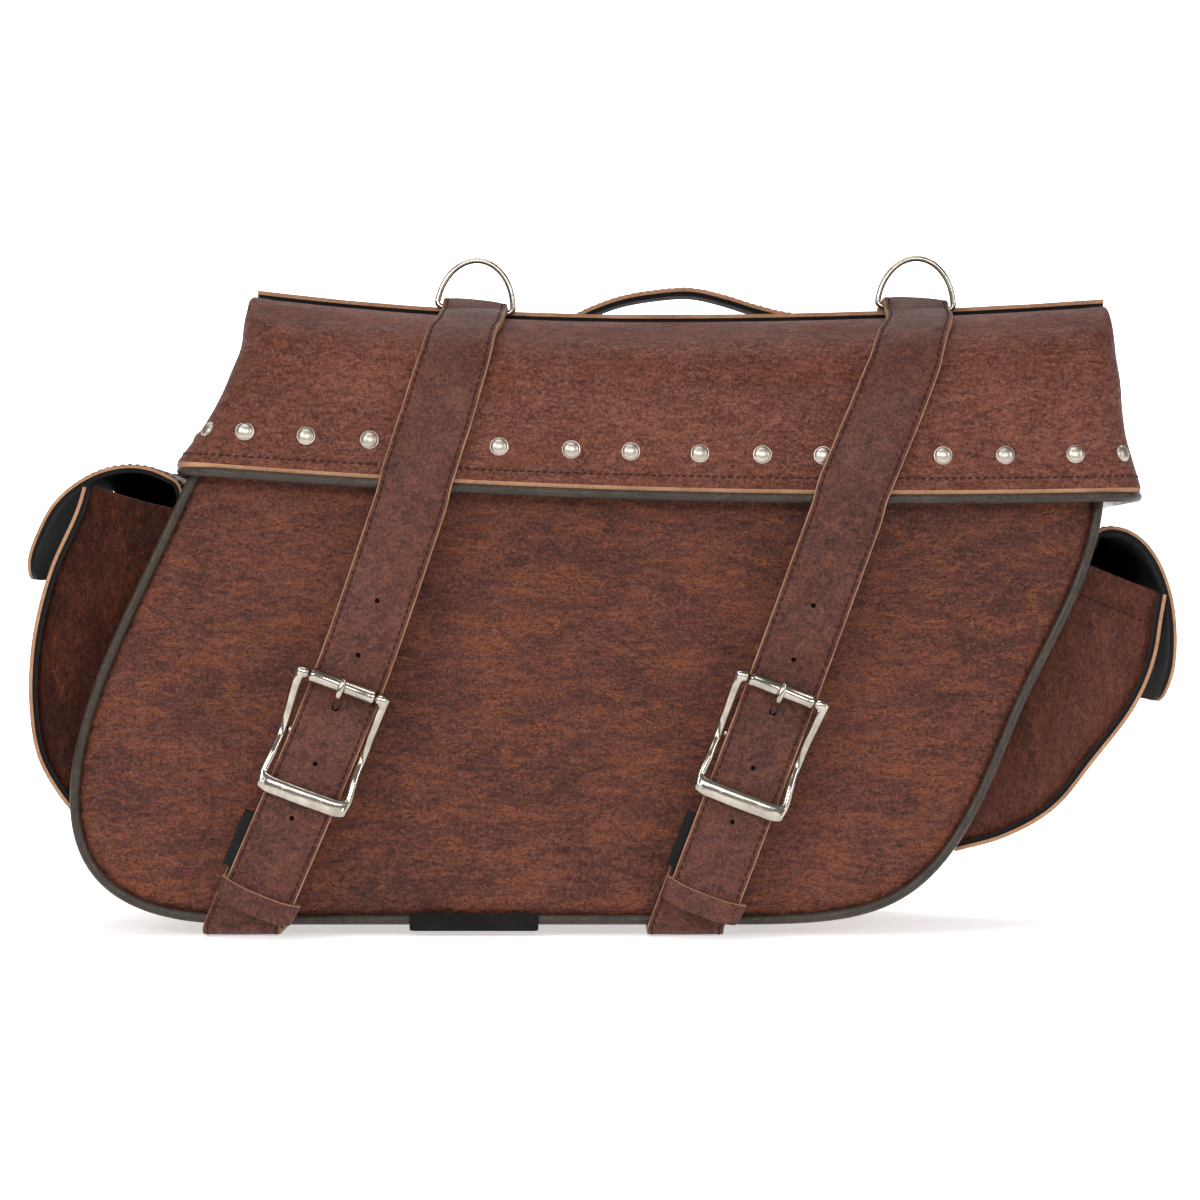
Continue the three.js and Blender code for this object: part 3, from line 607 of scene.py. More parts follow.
def make_gusset():
    """The long side and bottom strip between the two seams, bulging a little between them."""
    line = evenly(seam_edge(FRONT_TOP, SEAM_INSET - 0.5), 4.0)
    out = -left_of(line)
    along_y = np.linspace(-GUSSET_HALF, GUSSET_HALF, 41)
    arch = 1 - (np.abs(along_y) / GUSSET_HALF) ** 2.6
    right = smooth_step(line[:, 0], 195, 235) * smooth_step(line[:, 1], 60, 120)
    left = smooth_step(-line[:, 0], 205, 245) * smooth_step(line[:, 1], 60, 130)
    floor = 1 - smooth_step(line[:, 1], 12, 40)
    bulge = (2.2 + 4.6 * right + 0.8 * left) * (1 - 0.9 * floor)
    grid, inner = swept_across(line, along_y), swept_across(line, along_y)
    push_out(grid, out, bulge[:, None] * arch)
    push_out(grid, out, 0.5 * wavy(grid, 40, 7.0) * arch * (1 - floor[:, None]))
    push_out(inner, out, -LEATHER)
    placed(make_sheet("gusset_leather", BODY, grid, inner), "root", "body_leather", "gusset")


def make_piping(side, y):
    builder = Builder()
    add_tube(builder, in_xz(seam_line(FRONT_TOP), y), PIPING_RADIUS, 14)
    placed(builder.make(f"{side}_seam_piping", [PIPING]), "root", "piping", f"{side}_piping")


def make_body():
    make_panel("front", FRONT_TOP, FRONT_FACE, -1, 3.0)
    make_panel("back", BACK_TOP, BACK_FACE, 1, 11.0)
    make_gusset()
    make_piping("front", FRONT_FACE + 2)
    make_piping("rear", BACK_FACE - 2)


# ---- lid ----------------------------------------------------------------------------------
def crown_z(x):
    x = np.asarray(x, float)
    return 328 + np.where(x < 30, 2.8e-4, 1.4e-4) * (x - 30) ** 2


def hem_z(x):
    return 233.5 + 1.09e-4 * (157 - np.asarray(x, float)) ** 2


def lid_top_z(x, y):
    y = np.asarray(y, float)
    return crown_z(x) - np.where(y < 0, 0.0033, 0.0022) * y * y


def dropped(x, y, drop):
    """The crowned top, or drop below its crown where that is lower, blended."""
    fall = crown_z(x) - lid_top_z(x, y)
    return crown_z(x) - 0.5 * (fall + drop + np.sqrt((fall - drop) ** 2 + 0.8))


# Front edge, left and right edges, corner radius and height of the lid's levels, from the top.
LID_LEVELS = [
    (-36, -183, 269, 8, lambda x, y: dropped(x, y, 0.0)),
    (-60, -187.5, 272, 17, lambda x, y: dropped(x, y, 5.0)),
    (-74, -189, 273, 21, lambda x, y: crown_z(x) - 17.5),
    (-83, -190, 273, 23, lambda x, y: 0.6 * crown_z(x) + 104),
    (-87, -195, 274, 22, lambda x, y: 0.4 * crown_z(x) + 158),
    (-90, -209, 277.5, 22, lambda x, y: 0.5 * hem_z(x) + 143),
    (-93, -222, 284.5, 23, lambda x, y: hem_z(x)),
]
SIDE_STEPS, CORNER_STEPS, FRONT_STEPS = 30, 14, 130
TOP_ROWS, SKIRT_ROWS = 34, 56
TOP_SHARES = (0.72, 0.4, 0.0)  # of the way from the rear edge to the first level


def lid_plan(front, left, right, corner, rear=LID_REAR):
    """One level's outline in XY, from the rear left round the front to the rear right."""
    turn = np.linspace(0, math.pi / 2, CORNER_STEPS + 1)
    late, early = corner * (1 - np.cos(turn)), corner * (1 - np.sin(turn))
    left_side = np.linspace((left, rear), (left, front + corner), SIDE_STEPS + 1)[:-1]
    left_turn = np.stack([left + late, front + early], 1)
    front_side = np.linspace((left + corner, front), (right - corner, front), FRONT_STEPS + 1)
    right_turn = np.stack([right - early, front + late], 1)
    right_side = np.linspace((right, front + corner), (right, rear), SIDE_STEPS + 1)[1:]
    return np.concatenate([left_side, left_turn, front_side[1:-1], right_turn, right_side])


def lid_rings():
    """The lid's outer face as a grid: rows run from the rear edge of its top down to the hem."""
    rings = []
    for front, left, right, corner, height in LID_LEVELS:
        plan = lid_plan(front, left, right, corner)
        rings.append(np.column_stack([plan, height(plan[:, 0], plan[:, 1])]))
    first = rings[0][:, :2]
    share = np.linspace(0, 1, len(first))
    x = np.interp(share, [0, 0.14, 0.2, 0.8, 0.86, 1], [-173, -140, -128, 214, 226, 259])
    rear = np.column_stack([x, np.full(len(first), LID_REAR)])
    for share in TOP_SHARES:
        plan = rear + share * (first - rear)
        rings.insert(0, np.column_stack([plan, dropped(plan[:, 0], plan[:, 1], 0.0)]))
    return np.array(rings)


def make_lid_grid():
    """The lid's outer face, smooth through its levels and softly waved below the crown."""
    keys = lid_rings()
    middle = keys.shape[1] // 2
    knots = lengths_along(keys[:, middle])
    fold = knots[len(TOP_SHARES)]
    rows = np.concatenate([np.linspace(0, fold, TOP_ROWS)[:-1],
                           np.linspace(fold, knots[-1], SKIRT_ROWS)])
    grid = smooth_through(keys, knots, rows)
    normals = upward_normals(grid, (20, middle))
    number = np.arange(len(rows))[:, None]
    depth = smooth_step(number, 30, 45) * (1 - smooth_step(number, 76, 88))
    waves = 1.3 * wavy(grid * [1, 1, 1.6], 55, 19.0) + 0.35 * wavy(grid, 17, 4.0)
    return grid + normals * (waves * depth)[..., None]


LID_GRID = make_lid_grid()
LID_NORMALS = upward_normals(LID_GRID, (20, LID_GRID.shape[1] // 2))
FRONT_COLS = slice(SIDE_STEPS, SIDE_STEPS + 2 * CORNER_STEPS + FRONT_STEPS)


def lid_at(lid_row, x):
    """The lid's outer face and normal on a grid row at one x, on the front side."""
    points, normals = LID_GRID[lid_row, FRONT_COLS], LID_NORMALS[lid_row, FRONT_COLS]
    order = np.argsort(points[:, 0])
    knots = points[order, 0]
    return read_at(x, knots, points[order]), unit(read_at(x, knots, normals[order]))


def lid_front_at(x, z):
    """The lid's front face and normal at one x and height."""
    found = [lid_at(lid_row, x) for lid_row in range(len(LID_GRID) - 1, 40, -1)]
    points, normals = (np.array(part) for part in zip(*found))
    return read_at(z, points[:, 2], points), unit(read_at(z, points[:, 2], normals))


def lid_ring_above_hem(rise):
    """A line round the lid's outer face a little above its hem, with normals."""
    down = lengths_along(LID_GRID[::-1, LID_GRID.shape[1] // 2])
    at = np.interp(rise, down, np.arange(len(down)))
    low_row, share = len(LID_GRID) - 1 - int(at), at - int(at)
    points = LID_GRID[low_row] * (1 - share) + LID_GRID[low_row - 1] * share
    normals = unit(LID_NORMALS[low_row] * (1 - share) + LID_NORMALS[low_row - 1] * share)
    return points, normals


HEM_EDGE = [(0.05, 0.5, SKIN), (0.3, 2.4, TAN), (0.6, 2.9, TAN), (0.9, 1.4, LINING)]
HEM_STITCH_RISE = 5.6


def make_lid_shell():
    inner = LID_GRID - LID_NORMALS * LEATHER
    shell = make_sheet("lid_leather_shell", LID, LID_GRID, inner, HEM_EDGE)
    placed(shell, "lid", "lid_leather", "lid_shell")
    points, normals = lid_ring_above_hem(HEM_STITCH_RISE)
    stitches = make_stitches("lid_hem_stitches", [(points + normals * 0.05, normals)])
    placed(stitches, "lid", "lid_leather")


def make_lid_piping():
    front, left, right, corner, height = LID_LEVELS[-1]
    plan = lid_plan(front + 2, left + 2, right - 2, corner - 2)
    path = np.column_stack([plan, height(plan[:, 0], plan[:, 1]) - PIPING_RADIUS - 2.2])
    builder = Builder()
    add_tube(builder, evenly(path, 3.0), PIPING_RADIUS, 14, side=(0, 0, 1))
    placed(builder.make("lid_hem_piping", [PIPING]), "lid", "piping", "lid_piping")


# ---- rivets -------------------------------------------------------------------------------
RIVET_XS = (-205.5, -185, -153, -120, -87, -52.5, -15, 16, 52, 84.5, 116, 146, 178.5, 211,
            247.5, 273)
RIVET_YS = (-60, -26, 8, 42)
RIVET_RISE = 17.6
DOME = [(0.0, 1.9), (0.9, 1.86), (1.9, 1.7), (2.9, 1.38), (3.7, 0.92), (4.25, 0.4), (4.4, 0.1),
        (4.75, 0.05), (4.75, -0.6), (0.0, -0.6)]


def add_turned(builder, profile, centre, axis, sides=28):
    """A lathe shape along an axis from a centre. Its profile holds (radius, height), and both
    its ends are on the axis."""
    axis = unit(axis)
    aside = unit(np.cross(axis, [0.3, 0.9, 0.2]))
    turn = full_turn(sides)
    circle = np.outer(np.cos(turn), aside) + np.outer(np.sin(turn), np.cross(axis, aside))
    (_, first_height), *middle, (_, last_height) = profile
    rings = np.array([centre + radius * circle + height * axis for radius, height in middle])
    start = builder.add(rings, quads(len(middle), sides, close_cols=True))
    for height, ring in ((first_height, 0), (last_height, len(middle) - 1)):
        tip = builder.add([centre + height * axis], [])
        around = start + ring * sides + np.arange(sides)
        builder.join(np.stack([around, np.roll(around, -1), np.full(sides, tip)], 1))


def make_rivets():
    builder = Builder()
    for x in RIVET_XS:
        add_turned(builder, DOME, *lid_front_at(x, float(hem_z(x)) + RIVET_RISE))
    ring, normals = lid_ring_above_hem(RIVET_RISE + 1)
    for y in RIVET_YS:
        for part in (slice(0, SIDE_STEPS + 4), slice(-SIDE_STEPS - 4, None)):
            nearest = np.argmin(abs(ring[part, 1] - y))
            add_turned(builder, DOME, ring[part][nearest], normals[part][nearest])
    placed(builder.make("lid_hem_rivets", [STUD], sharp=50), "lid", "nickel")


# ---- hinge strip and handle ---------------------------------------------------------------
STRIP_LEFT, STRIP_RIGHT, STRIP_MIDDLE = -187, 275, 41.0
STRIP_ROWS, STRIP_COLS = 46, 120
STRIP_THICKNESS = 3.8
STRIP_EDGE = [(0.05, 0.3, SKIN), (0.1, 0.4, TAN), (0.55, 0.4, TAN), (0.6, 0.0, LINING),
              (0.95, -0.1, LINING)]
STRIP_BEND = row([0, 64, 322]), row([0, 80, 300])


def strip_line(x):
    """One line of the strip's underside in YZ: along the lid's top, over its rear edge and down."""
    on_lid = [(y, float(lid_top_z(x, y)) + 0.1) for y in np.linspace(-4, 66, 20)]
    edge = float(lid_top_z(x, 66))
    over = [(73, edge - 3.2), (78.2, edge - 11), (79.6, edge - 19), (79.6, 286), (79.4, 272)]
    path = spline(on_lid + over, 3.0)
    along = lengths_along(path)
    return read_at(np.linspace(0, 1, STRIP_ROWS), along / along[-1], path)


def make_hinge_strip():
    """The strip from the lid's crown over the hinge and down on to the back panel."""
    under = np.zeros((STRIP_ROWS, STRIP_COLS, 3))
    for col, x in enumerate(np.linspace(STRIP_LEFT, STRIP_RIGHT, STRIP_COLS)):
        under[:, col, 0] = x
        under[:, col, 1:] = strip_line(x)
    narrower = 0.03 * smooth_step(np.linspace(0, 1, STRIP_ROWS)[:, None], 0.6, 1.0)
    under[..., 0] = STRIP_MIDDLE + (under[..., 0] - STRIP_MIDDLE) * (1 - narrower)
    normals = upward_normals(under, (5, STRIP_COLS // 2))
    outer = under + normals * STRIP_THICKNESS
    outer[..., 2] += 0.25 * wavy(outer, 30, 2.0)
    strip = make_sheet("hinge_strip_leather", STRAP, outer, under, STRIP_EDGE)
    bent(strip, ("lid", "root"), STRIP_BEND, "strap_leather", "lid_hinge_strip")
    inner, out = outer[2:-2, 2:-2], normals[2:-2, 2:-2]
    lines = [(inner[0], out[0]), (inner[-1], out[-1]), (inner[:, 0], out[:, 0]),
             (inner[:, -1], out[:, -1]), (inner[-5], out[-5])]
    bent(make_stitches("hinge_strip_stitches", lines), ("lid", "root"), STRIP_BEND, "strap_leather")


HANDLE_PATH = [(-38, 332.4), (-17, 333), (-5, 338.5), (10, 344), (30, 347.8), (52, 349),
               (70, 345), (86, 340), (104, 335.6), (124, 333.5), (145, 333.1)]
HANDLE_Y, HANDLE_HALF, HANDLE_RIVET_XS = 55, 13, (-28, 134)
# Sections of bands: (share of the half width, inset, depth) round the band from its left edge.
BAND_SECTION = [
    (-1, 0, 0.2), (-1, 0.0, 1.3), (-1, 0.5, 1.9), (-1, 1.7, 2.1), (-1, 2.4, 1.7), (-1, 3.1, 2.15),
    (-0.5, 0, 2.5), (0, 0, 2.6), (0.5, 0, 2.5),
    (1, 3.1, 2.15), (1, 2.4, 1.7), (1, 1.7, 2.1), (1, 0.5, 1.9), (1, 0.0, 1.3), (1, 0, 0.2),
    (1, 0, -0.1), (1, 0, -1.8), (1, 0.6, -2.3), (0.4, 0, -2.4), (-0.4, 0, -2.4),
    (-1, 0.6, -2.3), (-1, 0, -1.8), (-1, 0, -0.1),
]
HANDLE_FINISHES = [TAN, TAN] + [SKIN] * 9 + [TAN] * 3 + [LINING] * 8 + [TAN]


def make_handle():
    path = in_xz(spline(HANDLE_PATH, 2.5), HANDLE_Y)
    path[:, 2] -= 0.3
    wide = np.tile([0.0, 1.0, 0.0], (len(path), 1))
    out = unit(np.cross(tangents_of(path), wide))
    out = out if out[10, 2] > 0 else -out
    ends = lengths_along(path)
    reach = np.minimum(ends, ends[-1] - ends)
    short = 1 - np.clip(reach / 8, 0, 1)
    halves = HANDLE_HALF - 8 * (1 - np.sqrt(1 - short ** 2))
    builder = Builder()
    add_sweep(builder, path, wide, out, halves, BAND_SECTION, HANDLE_FINISHES)
    placed(builder.make("carry_handle_leather", layers(STRAP)),
           "lid", "strap_leather", "carry_handle")
    lines = [((path + out * 2.0 + wide * side * 10.6)[5:-5], out[5:-5]) for side in (-1, 1)]
    placed(make_stitches("carry_handle_stitches", lines), "lid", "strap_leather")
    studs = Builder()
    for x in HANDLE_RIVET_XS:
        nearest = np.argmin(abs(path[:, 0] - x))
        add_turned(studs, DOME, path[nearest] + out[nearest] * 2.4, out[nearest])
    placed(studs.make("carry_handle_rivets", [STUD], sharp=50), "lid", "nickel")


# ---- straps -------------------------------------------------------------------------------
STRAPS = {
    "left": {
        "line": [(-94.2, 238), (-130.2, 134), (-178, 20)],
        "top_x": -68.2, "shoulder_x": -75.5, "top_tilt": 5.5,
        "buckle": (-143.6, 102.4, 20.2), "end": (-178, 19, 22.5), "clip": (-171, 45, 22.5),
    },
    "right": {
        "line": [(131.6, 231.2), (96.1, 134), (53, 20)],
        "top_x": 171.6, "shoulder_x": 160.2, "top_tilt": 3,
        "buckle": (82.7, 100.3, 21), "end": (53, 19, 21), "clip": (60, 45, 21),
    },
}
D_RING_WIRE, D_RING_HALF, D_RING_HEIGHT, BAR_Y = 1.6, 20.7, 27.5, -10.0
FOLD_HALF = 1.6  # half the strap's thickness where it folds over the bar
FOLD_WIDTH, FOLD_REST_WIDTH = 0.93, 0.87  # shares of the strap's width there
STRAP_SKEW = math.radians(18)
HALF = STRAP_THICKNESS / 2
STRAP_STITCH_INSET = 2.55
STRAP_SECTION = [
    (-1, 0, 1.2), (-1, 0.6, 1.95), (-1, 1.7, 2.15), (-1, 2.55, 1.55), (-1, 3.5, 2.15),
    (-0.6, 0, 2.55), (-0.3, 0, 2.75), (0, 0, 2.8), (0.3, 0, 2.75), (0.6, 0, 2.55),
    (1, 3.5, 2.15), (1, 2.55, 1.55), (1, 1.7, 2.15), (1, 0.6, 1.95), (1, 0, 1.2),
    (1, 0.05, 0.2), (1, 0.3, 0), (1, 0.05, -0.2), (1, 0, -1.4), (1, 0.6, -2.1),
    (0.5, 0, -2.2), (0, 0, -2.2), (-0.5, 0, -2.2), (-1, 0.6, -2.1), (-1, 0, -1.4),
    (-1, 0.05, -0.2), (-1, 0.3, 0), (-1, 0.05, 0.2),
]
STRAP_FINISHES = ([TAN] + [SKIN] * 12 + [TAN, TAN, LINING, LINING, TAN, TAN]
                  + [SKIN] * 4 + [TAN, TAN, LINING, LINING, TAN])
HOLE_STEPS, HOLE_PITCH, HOLE_RADIUS, PRONG_HOLE_Z = (-2, -1, 1, 2), 30, 1.35, 18.0


def to_strap(points, place, y=STRAP_Y):
    """Points of a frame with X across the strap, Z up it and -Y out of it, put in their place."""
    x, z, tilt = place
    c, s = math.cos(math.radians(tilt)), math.sin(math.radians(tilt))
    points = np.asarray(points, float)
    return np.stack([x + points[..., 0] * c + points[..., 2] * s, y + points[..., 1],
                     z - points[..., 0] * s + points[..., 2] * c], -1)


def resting_height(spec, y, reach):
    """How high the middle of something tilted across a strap's top stands on the lid."""
    drop = math.sin(math.radians(spec["top_tilt"]))
    return max(float(lid_top_z(spec["top_x"] + x, y)) + x * drop for x in (-reach, reach))


def bar_height(spec):
    return resting_height(spec, BAR_Y, D_RING_HALF) + 2


def fold_keys(spec):
    """Centres and normals from behind the D-ring up over its bar."""
    bar = np.array([spec["top_x"], BAR_Y, bar_height(spec)])
    tilt = math.radians(spec["top_tilt"])

    def tilted(turn):
        rise, lean = math.cos(math.radians(turn)), math.sin(math.radians(turn))
        return np.array([math.sin(tilt) * rise, lean, math.cos(tilt) * rise])

    keys = []
    for y, turn in ((32, 6), (22, 4), (10, 4)):
        rest = resting_height(spec, y, FOLD_REST_WIDTH * STRAP_WIDTH / 2) + 4.4
        keys.append(((spec["top_x"], y, rest + FOLD_HALF), tilted(turn)))
    arch = D_RING_WIRE + 0.5 + FOLD_HALF
    return keys + [(bar + arch * tilted(turn), tilted(turn)) for turn in (14, -12, -40)]


def lid_keys(spec):
    """Centres and normals down the lid, from in front of the D-ring to the hem."""
    top_x, shoulder_x, hem_x = spec["top_x"], spec["shoulder_x"], spec["line"][0][0]
    shoulder_y, shoulder_z = -83, 0.6 * float(crown_z(shoulder_x)) + 104
    rows = [r for r in range(len(LID_GRID)) if lid_at(r, top_x)[0][1] < -20]
    keys = []
    for lid_row in rows[::3] + [len(LID_GRID) - 1]:
        _, y, z = lid_at(lid_row, top_x)[0]
        if y > shoulder_y:
            x = top_x + (shoulder_x - top_x) * (y / shoulder_y) ** 4
        else:
            share = (shoulder_z - z) / (shoulder_z - float(hem_z(hem_x)))
            x = shoulder_x + (hem_x - shoulder_x) * share
        point, normal = lid_at(lid_row, x)
        normal[0] *= 0.4
        lift = FOLD_HALF + 1.3 + (HALF - FOLD_HALF) * smooth_step(-point[1], 30, 70)
        keys.append((point + unit(normal) * float(lift), unit(normal)))
    return keys


def hanging_keys(spec):
    """Centres and normals of the part that hangs below the hem."""
    top = float(hem_z(spec["line"][0][0])) - 9
    return [((x, STRAP_Y, z), (0, -1, 0)) for x, z in spline(spec["line"], 6.0) if z < top]


def strap_stations(spec):
    """Centre, width direction, outward normal and half width along one strap, from behind its
    D-ring to its end."""
    keys = fold_keys(spec) + lid_keys(spec) + hanging_keys(spec)
    centres, normals = np.array([c for c, _ in keys], float), unit([n for _, n in keys])
    knots = lengths_along(centres)
    at = np.linspace(0, knots[-1], int(knots[-1] / 2.2))
    path = smooth_through(centres, knots, at)
    along = tangents_of(path)
    wide = unit(np.cross(smooth_through(normals, knots, at), along))
    out = unit(np.cross(along, wide))
    wide = wide if wide[-1, 0] > 0 else -wide
    out = out if out[-1, 1] < 0 else -out
    # Skewed over the lid's shoulder, so that its edges run straight down from the fold.
    skew = math.tan(STRAP_SKEW) * smooth_step(at, 60, 115) * (1 - smooth_step(at, 130, 240))
    wide = wide - skew[:, None] * along
    share = FOLD_WIDTH + (1 - FOLD_WIDTH) * smooth_step(at, 60, 180)
    return path, wide, out, share * STRAP_WIDTH / 2


def strap_holes(spec):
    """Centres of the punched holes along the hanging strap."""
    _, z, tilt = spec["buckle"]
    rise = math.cos(math.radians(tilt))
    curve = spline(spec["line"], 1.0)[::-1]
    holes = []
    for step in HOLE_STEPS:
        height = z + (PRONG_HOLE_Z + HOLE_PITCH * step) * rise
        holes.append(np.array([np.interp(height, curve[:, 1], curve[:, 0]), STRAP_Y, height]))
    return holes


def hole_cutter(spec, reach=8):
    """Pins for the punched holes and a slot for the prong. Their black goes on to the cut walls as
    painted shade.
    """
    builder = Builder()
    pin = [(0, reach), (HOLE_RADIUS, reach), (HOLE_RADIUS, -reach), (0, -reach)]
    for hole in strap_holes(spec):
        add_turned(builder, pin, hole, [0, 1, 0], 16)
    turn = full_turn(20)
    up = PRONG_HOLE_Z + 1.7 * np.sin(turn) + np.where(np.sin(turn) > 0, 3.2, 0.9)
    slot = np.stack([2.1 * np.cos(turn), np.zeros(20), up], 1)
    rings = np.array([to_strap(slot, spec["buckle"], STRAP_Y + y) for y in (-reach, reach)])
    start = builder.add(rings, quads(2, 20, close_cols=True))
    builder.join([np.arange(20) + start, np.arange(20)[::-1] + start + 20])
    return builder.make("hole_cutter", [BLACK])


def apply_modifiers(piece):
    """Puts what a piece's modifiers make of it in place of its mesh."""
    bpy.context.view_layer.update()
    seen = piece.evaluated_get(bpy.context.evaluated_depsgraph_get())
    result = bpy.data.meshes.new_from_object(seen)
    piece.modifiers.clear()
    piece.data = result
    return result


def cut_out(piece, tool):
    """Cuts tool out of piece and removes it."""
    modifier = piece.modifiers.new("holes", "BOOLEAN")
    modifier.operation, modifier.object, modifier.solver = "DIFFERENCE", tool, "EXACT"
    modifier.material_mode = "TRANSFER"
    apply_modifiers(piece).set_sharp_from_angle(angle=math.radians(40))
    bpy.data.objects.remove(tool)


def strap_stitches(side, stations):
    """Stitches along both edges of a strap and across it behind the D-ring."""
    path, wide, out, halves = stations
    lines = []
    for sign in (-1, 1):
        line = path + wide * (sign * (halves - STRAP_STITCH_INSET))[:, None] + out * 1.75
        lines.append((line[4:-3], out[4:-3]))
    across = path[8] + wide[8] * np.linspace(-12, 12, 12)[:, None] + out[8] * 2.6
    lines.append((across, np.tile(out[8], (12, 1))))
    return make_stitches(f"strap_{side}_stitches", lines)


def make_strap(side, spec):
    stations = strap_stations(spec)
    builder = Builder()
    add_sweep(builder, *stations, STRAP_SECTION, STRAP_FINISHES)
    strap = builder.make(f"strap_{side}_leather", layers(STRAP))
    # The cut walls of the holes and the prong's slot take the cutter's black: painted shade.
    cut_out(strap, hole_cutter(spec))
    x = spec["line"][0][0]
    pivot = (x, float(hem_z(x)) - 1.0, spec["buckle"][2])
    ends = [row(to_strap((0, 0, z), pivot)) for z in (13, -13)]
    bodies = ("lid", f"strap_{side}")
    bent(strap, bodies, ends, "strap_leather", f"strap_{side}_upper", f"strap_{side}_lower")
    bent(strap_stitches(side, stations), bodies, ends, "strap_leather")
    # Black plugs in the middle of each punched hole: painted shade, standing in for the dark seen
    # through the holes.
    shade_plugs, wide = Builder(), HOLE_RADIUS + 0.3
    for hole in strap_holes(spec):
        add_turned(shade_plugs, [(0, 0.8), (wide, 0.8), (wide, -0.8), (0, -0.8)], hole, [0, -1, 0], 16)
    placed(shade_plugs.make(f"strap_{side}_hole_painted_shade", [BLACK]), f"strap_{side}", "black_lining")


# ---- buckles, in the strap's own frame ------------------------------------------------------
BAR_RADIUS, ROLLER_RADIUS, ROLLER_HALF = 2.0, 4.1, 17.6
BUCKLE_TOP, BUCKLE_BOTTOM = 31.0, -31.0
ROLLER_Y = -HALF - 0.4 - ROLLER_RADIUS
CENTRE_BAR_Y = HALF + 0.4 + 4.2
# Offset down the strap and radius of the bars that make up the flat keeper bar.
KEEPER_BARS = ((-1.4, 2.0), (-0.3, 2.25), (0.8, 2.35), (1.9, 2.35), (3.0, 2.2), (4.2, 1.8))
ACROSS, UP = (1, 0, 0), (0, 0, 1)


def remeshed(piece, voxel, smooth):
    """Joins a piece's overlapping shells into one smooth skin."""
    remesh = piece.modifiers.new("join", "REMESH")
    remesh.mode, remesh.voxel_size = "VOXEL", voxel * MM
    relax = piece.modifiers.new("relax", "SMOOTH")
    relax.factor, relax.iterations = 0.5, smooth
    material = piece.data.materials[0]
    result = apply_modifiers(piece)
    result.materials.clear()
    result.materials.append(material)
    result.polygons.foreach_set("use_smooth", [True] * len(result.polygons))
    return piece


def add_bar(builder, place, points, radii, side):
    """A bar of changing thickness through points of the buckle's frame."""
    keys = np.column_stack([np.asarray(points, float), np.broadcast_to(radii, len(points))])
    line = spline(keys, 0.8)
    add_tube(builder, to_strap(line[:, :3], place), line[:, 3], 16, side)


def make_buckle(side, spec):
    place = spec["buckle"]
    builder = Builder()
    for sign in (-1, 1):
        rail = [(sign * 23.2, ROLLER_Y, BUCKLE_TOP + 1.5), (sign * 23.2, ROLLER_Y, BUCKLE_TOP - 3),
                (sign * 22.9, -3.6, 18), (sign * 22.2, CENTRE_BAR_Y - 4.4, 4),
                (sign * 22.1, CENTRE_BAR_Y - 4.2, -2), (sign * 22.5, -2.2, -14),
                (sign * 23.0, -5.0, -26), (sign * 21.8, -6.2, BUCKLE_BOTTOM + 0.5)]
        add_bar(builder, place, rail, [3.1, 2.7, 2.3, 2.5, 2.5, 2.2, 2.4, 2.7], ACROSS)
    top = [(x, ROLLER_Y, BUCKLE_TOP) for x in (-24, -19.5, -18, -9, 0, 9, 18, 19.5, 24)]
    add_bar(builder, place, top, [3.2, 3.1] + [BAR_RADIUS] * 5 + [3.1, 3.2], UP)
    middle = [(x, CENTRE_BAR_Y, 0) for x in (-21.5, -10, 0, 10, 21.5)]
    add_bar(builder, place, middle, BAR_RADIUS, UP)
    arch = [(-23.2, -5.4, -29.4), (-20, -6.4, -30.4), (-10, -7.2, -30.9), (0, -7.5, -31.0),
            (10, -7.2, -30.9), (20, -6.4, -30.4), (23.2, -5.4, -29.4)]
    for lift, radius in KEEPER_BARS:
        add_bar(builder, place, [(x, y, z + lift) for x, y, z in arch], radius, UP)
    made = remeshed(builder.make(f"buckle_{side}_frame_cast", [NICKEL]), 0.42, 6)
    placed(made, f"strap_{side}", "nickel", f"buckle_{side}_frame")


def make_roller(side, spec):
    half, bore, turn = ROLLER_HALF, BAR_RADIUS + 0.35, full_turn(32)
    groove = ROLLER_RADIUS - 0.18
    profile = [(bore, -half), (ROLLER_RADIUS - 0.5, -half), (ROLLER_RADIUS, -half + 0.6),
               (ROLLER_RADIUS, -half + 2.4), (groove, -half + 2.7), (groove, half - 2.7),
               (ROLLER_RADIUS, half - 2.4), (ROLLER_RADIUS, half - 0.6),
               (ROLLER_RADIUS - 0.5, half), (bore, half)]
    rings = np.zeros((len(profile), len(turn), 3))
    for ring, (radius, x) in zip(rings, profile):
        ring[:, 0] = x
        ring[:, 1] = ROLLER_Y + radius * np.sin(turn)
        ring[:, 2] = BUCKLE_TOP + radius * np.cos(turn)
    builder = Builder()
    faces = quads(len(profile), len(turn), close_rows=True, close_cols=True)
    builder.add(to_strap(rings, spec["buckle"]), faces)
    placed(builder.make(f"buckle_{side}_roller_tube", [NICKEL], sharp=35),
           f"roller_{side}", "nickel", f"buckle_{side}_roller")


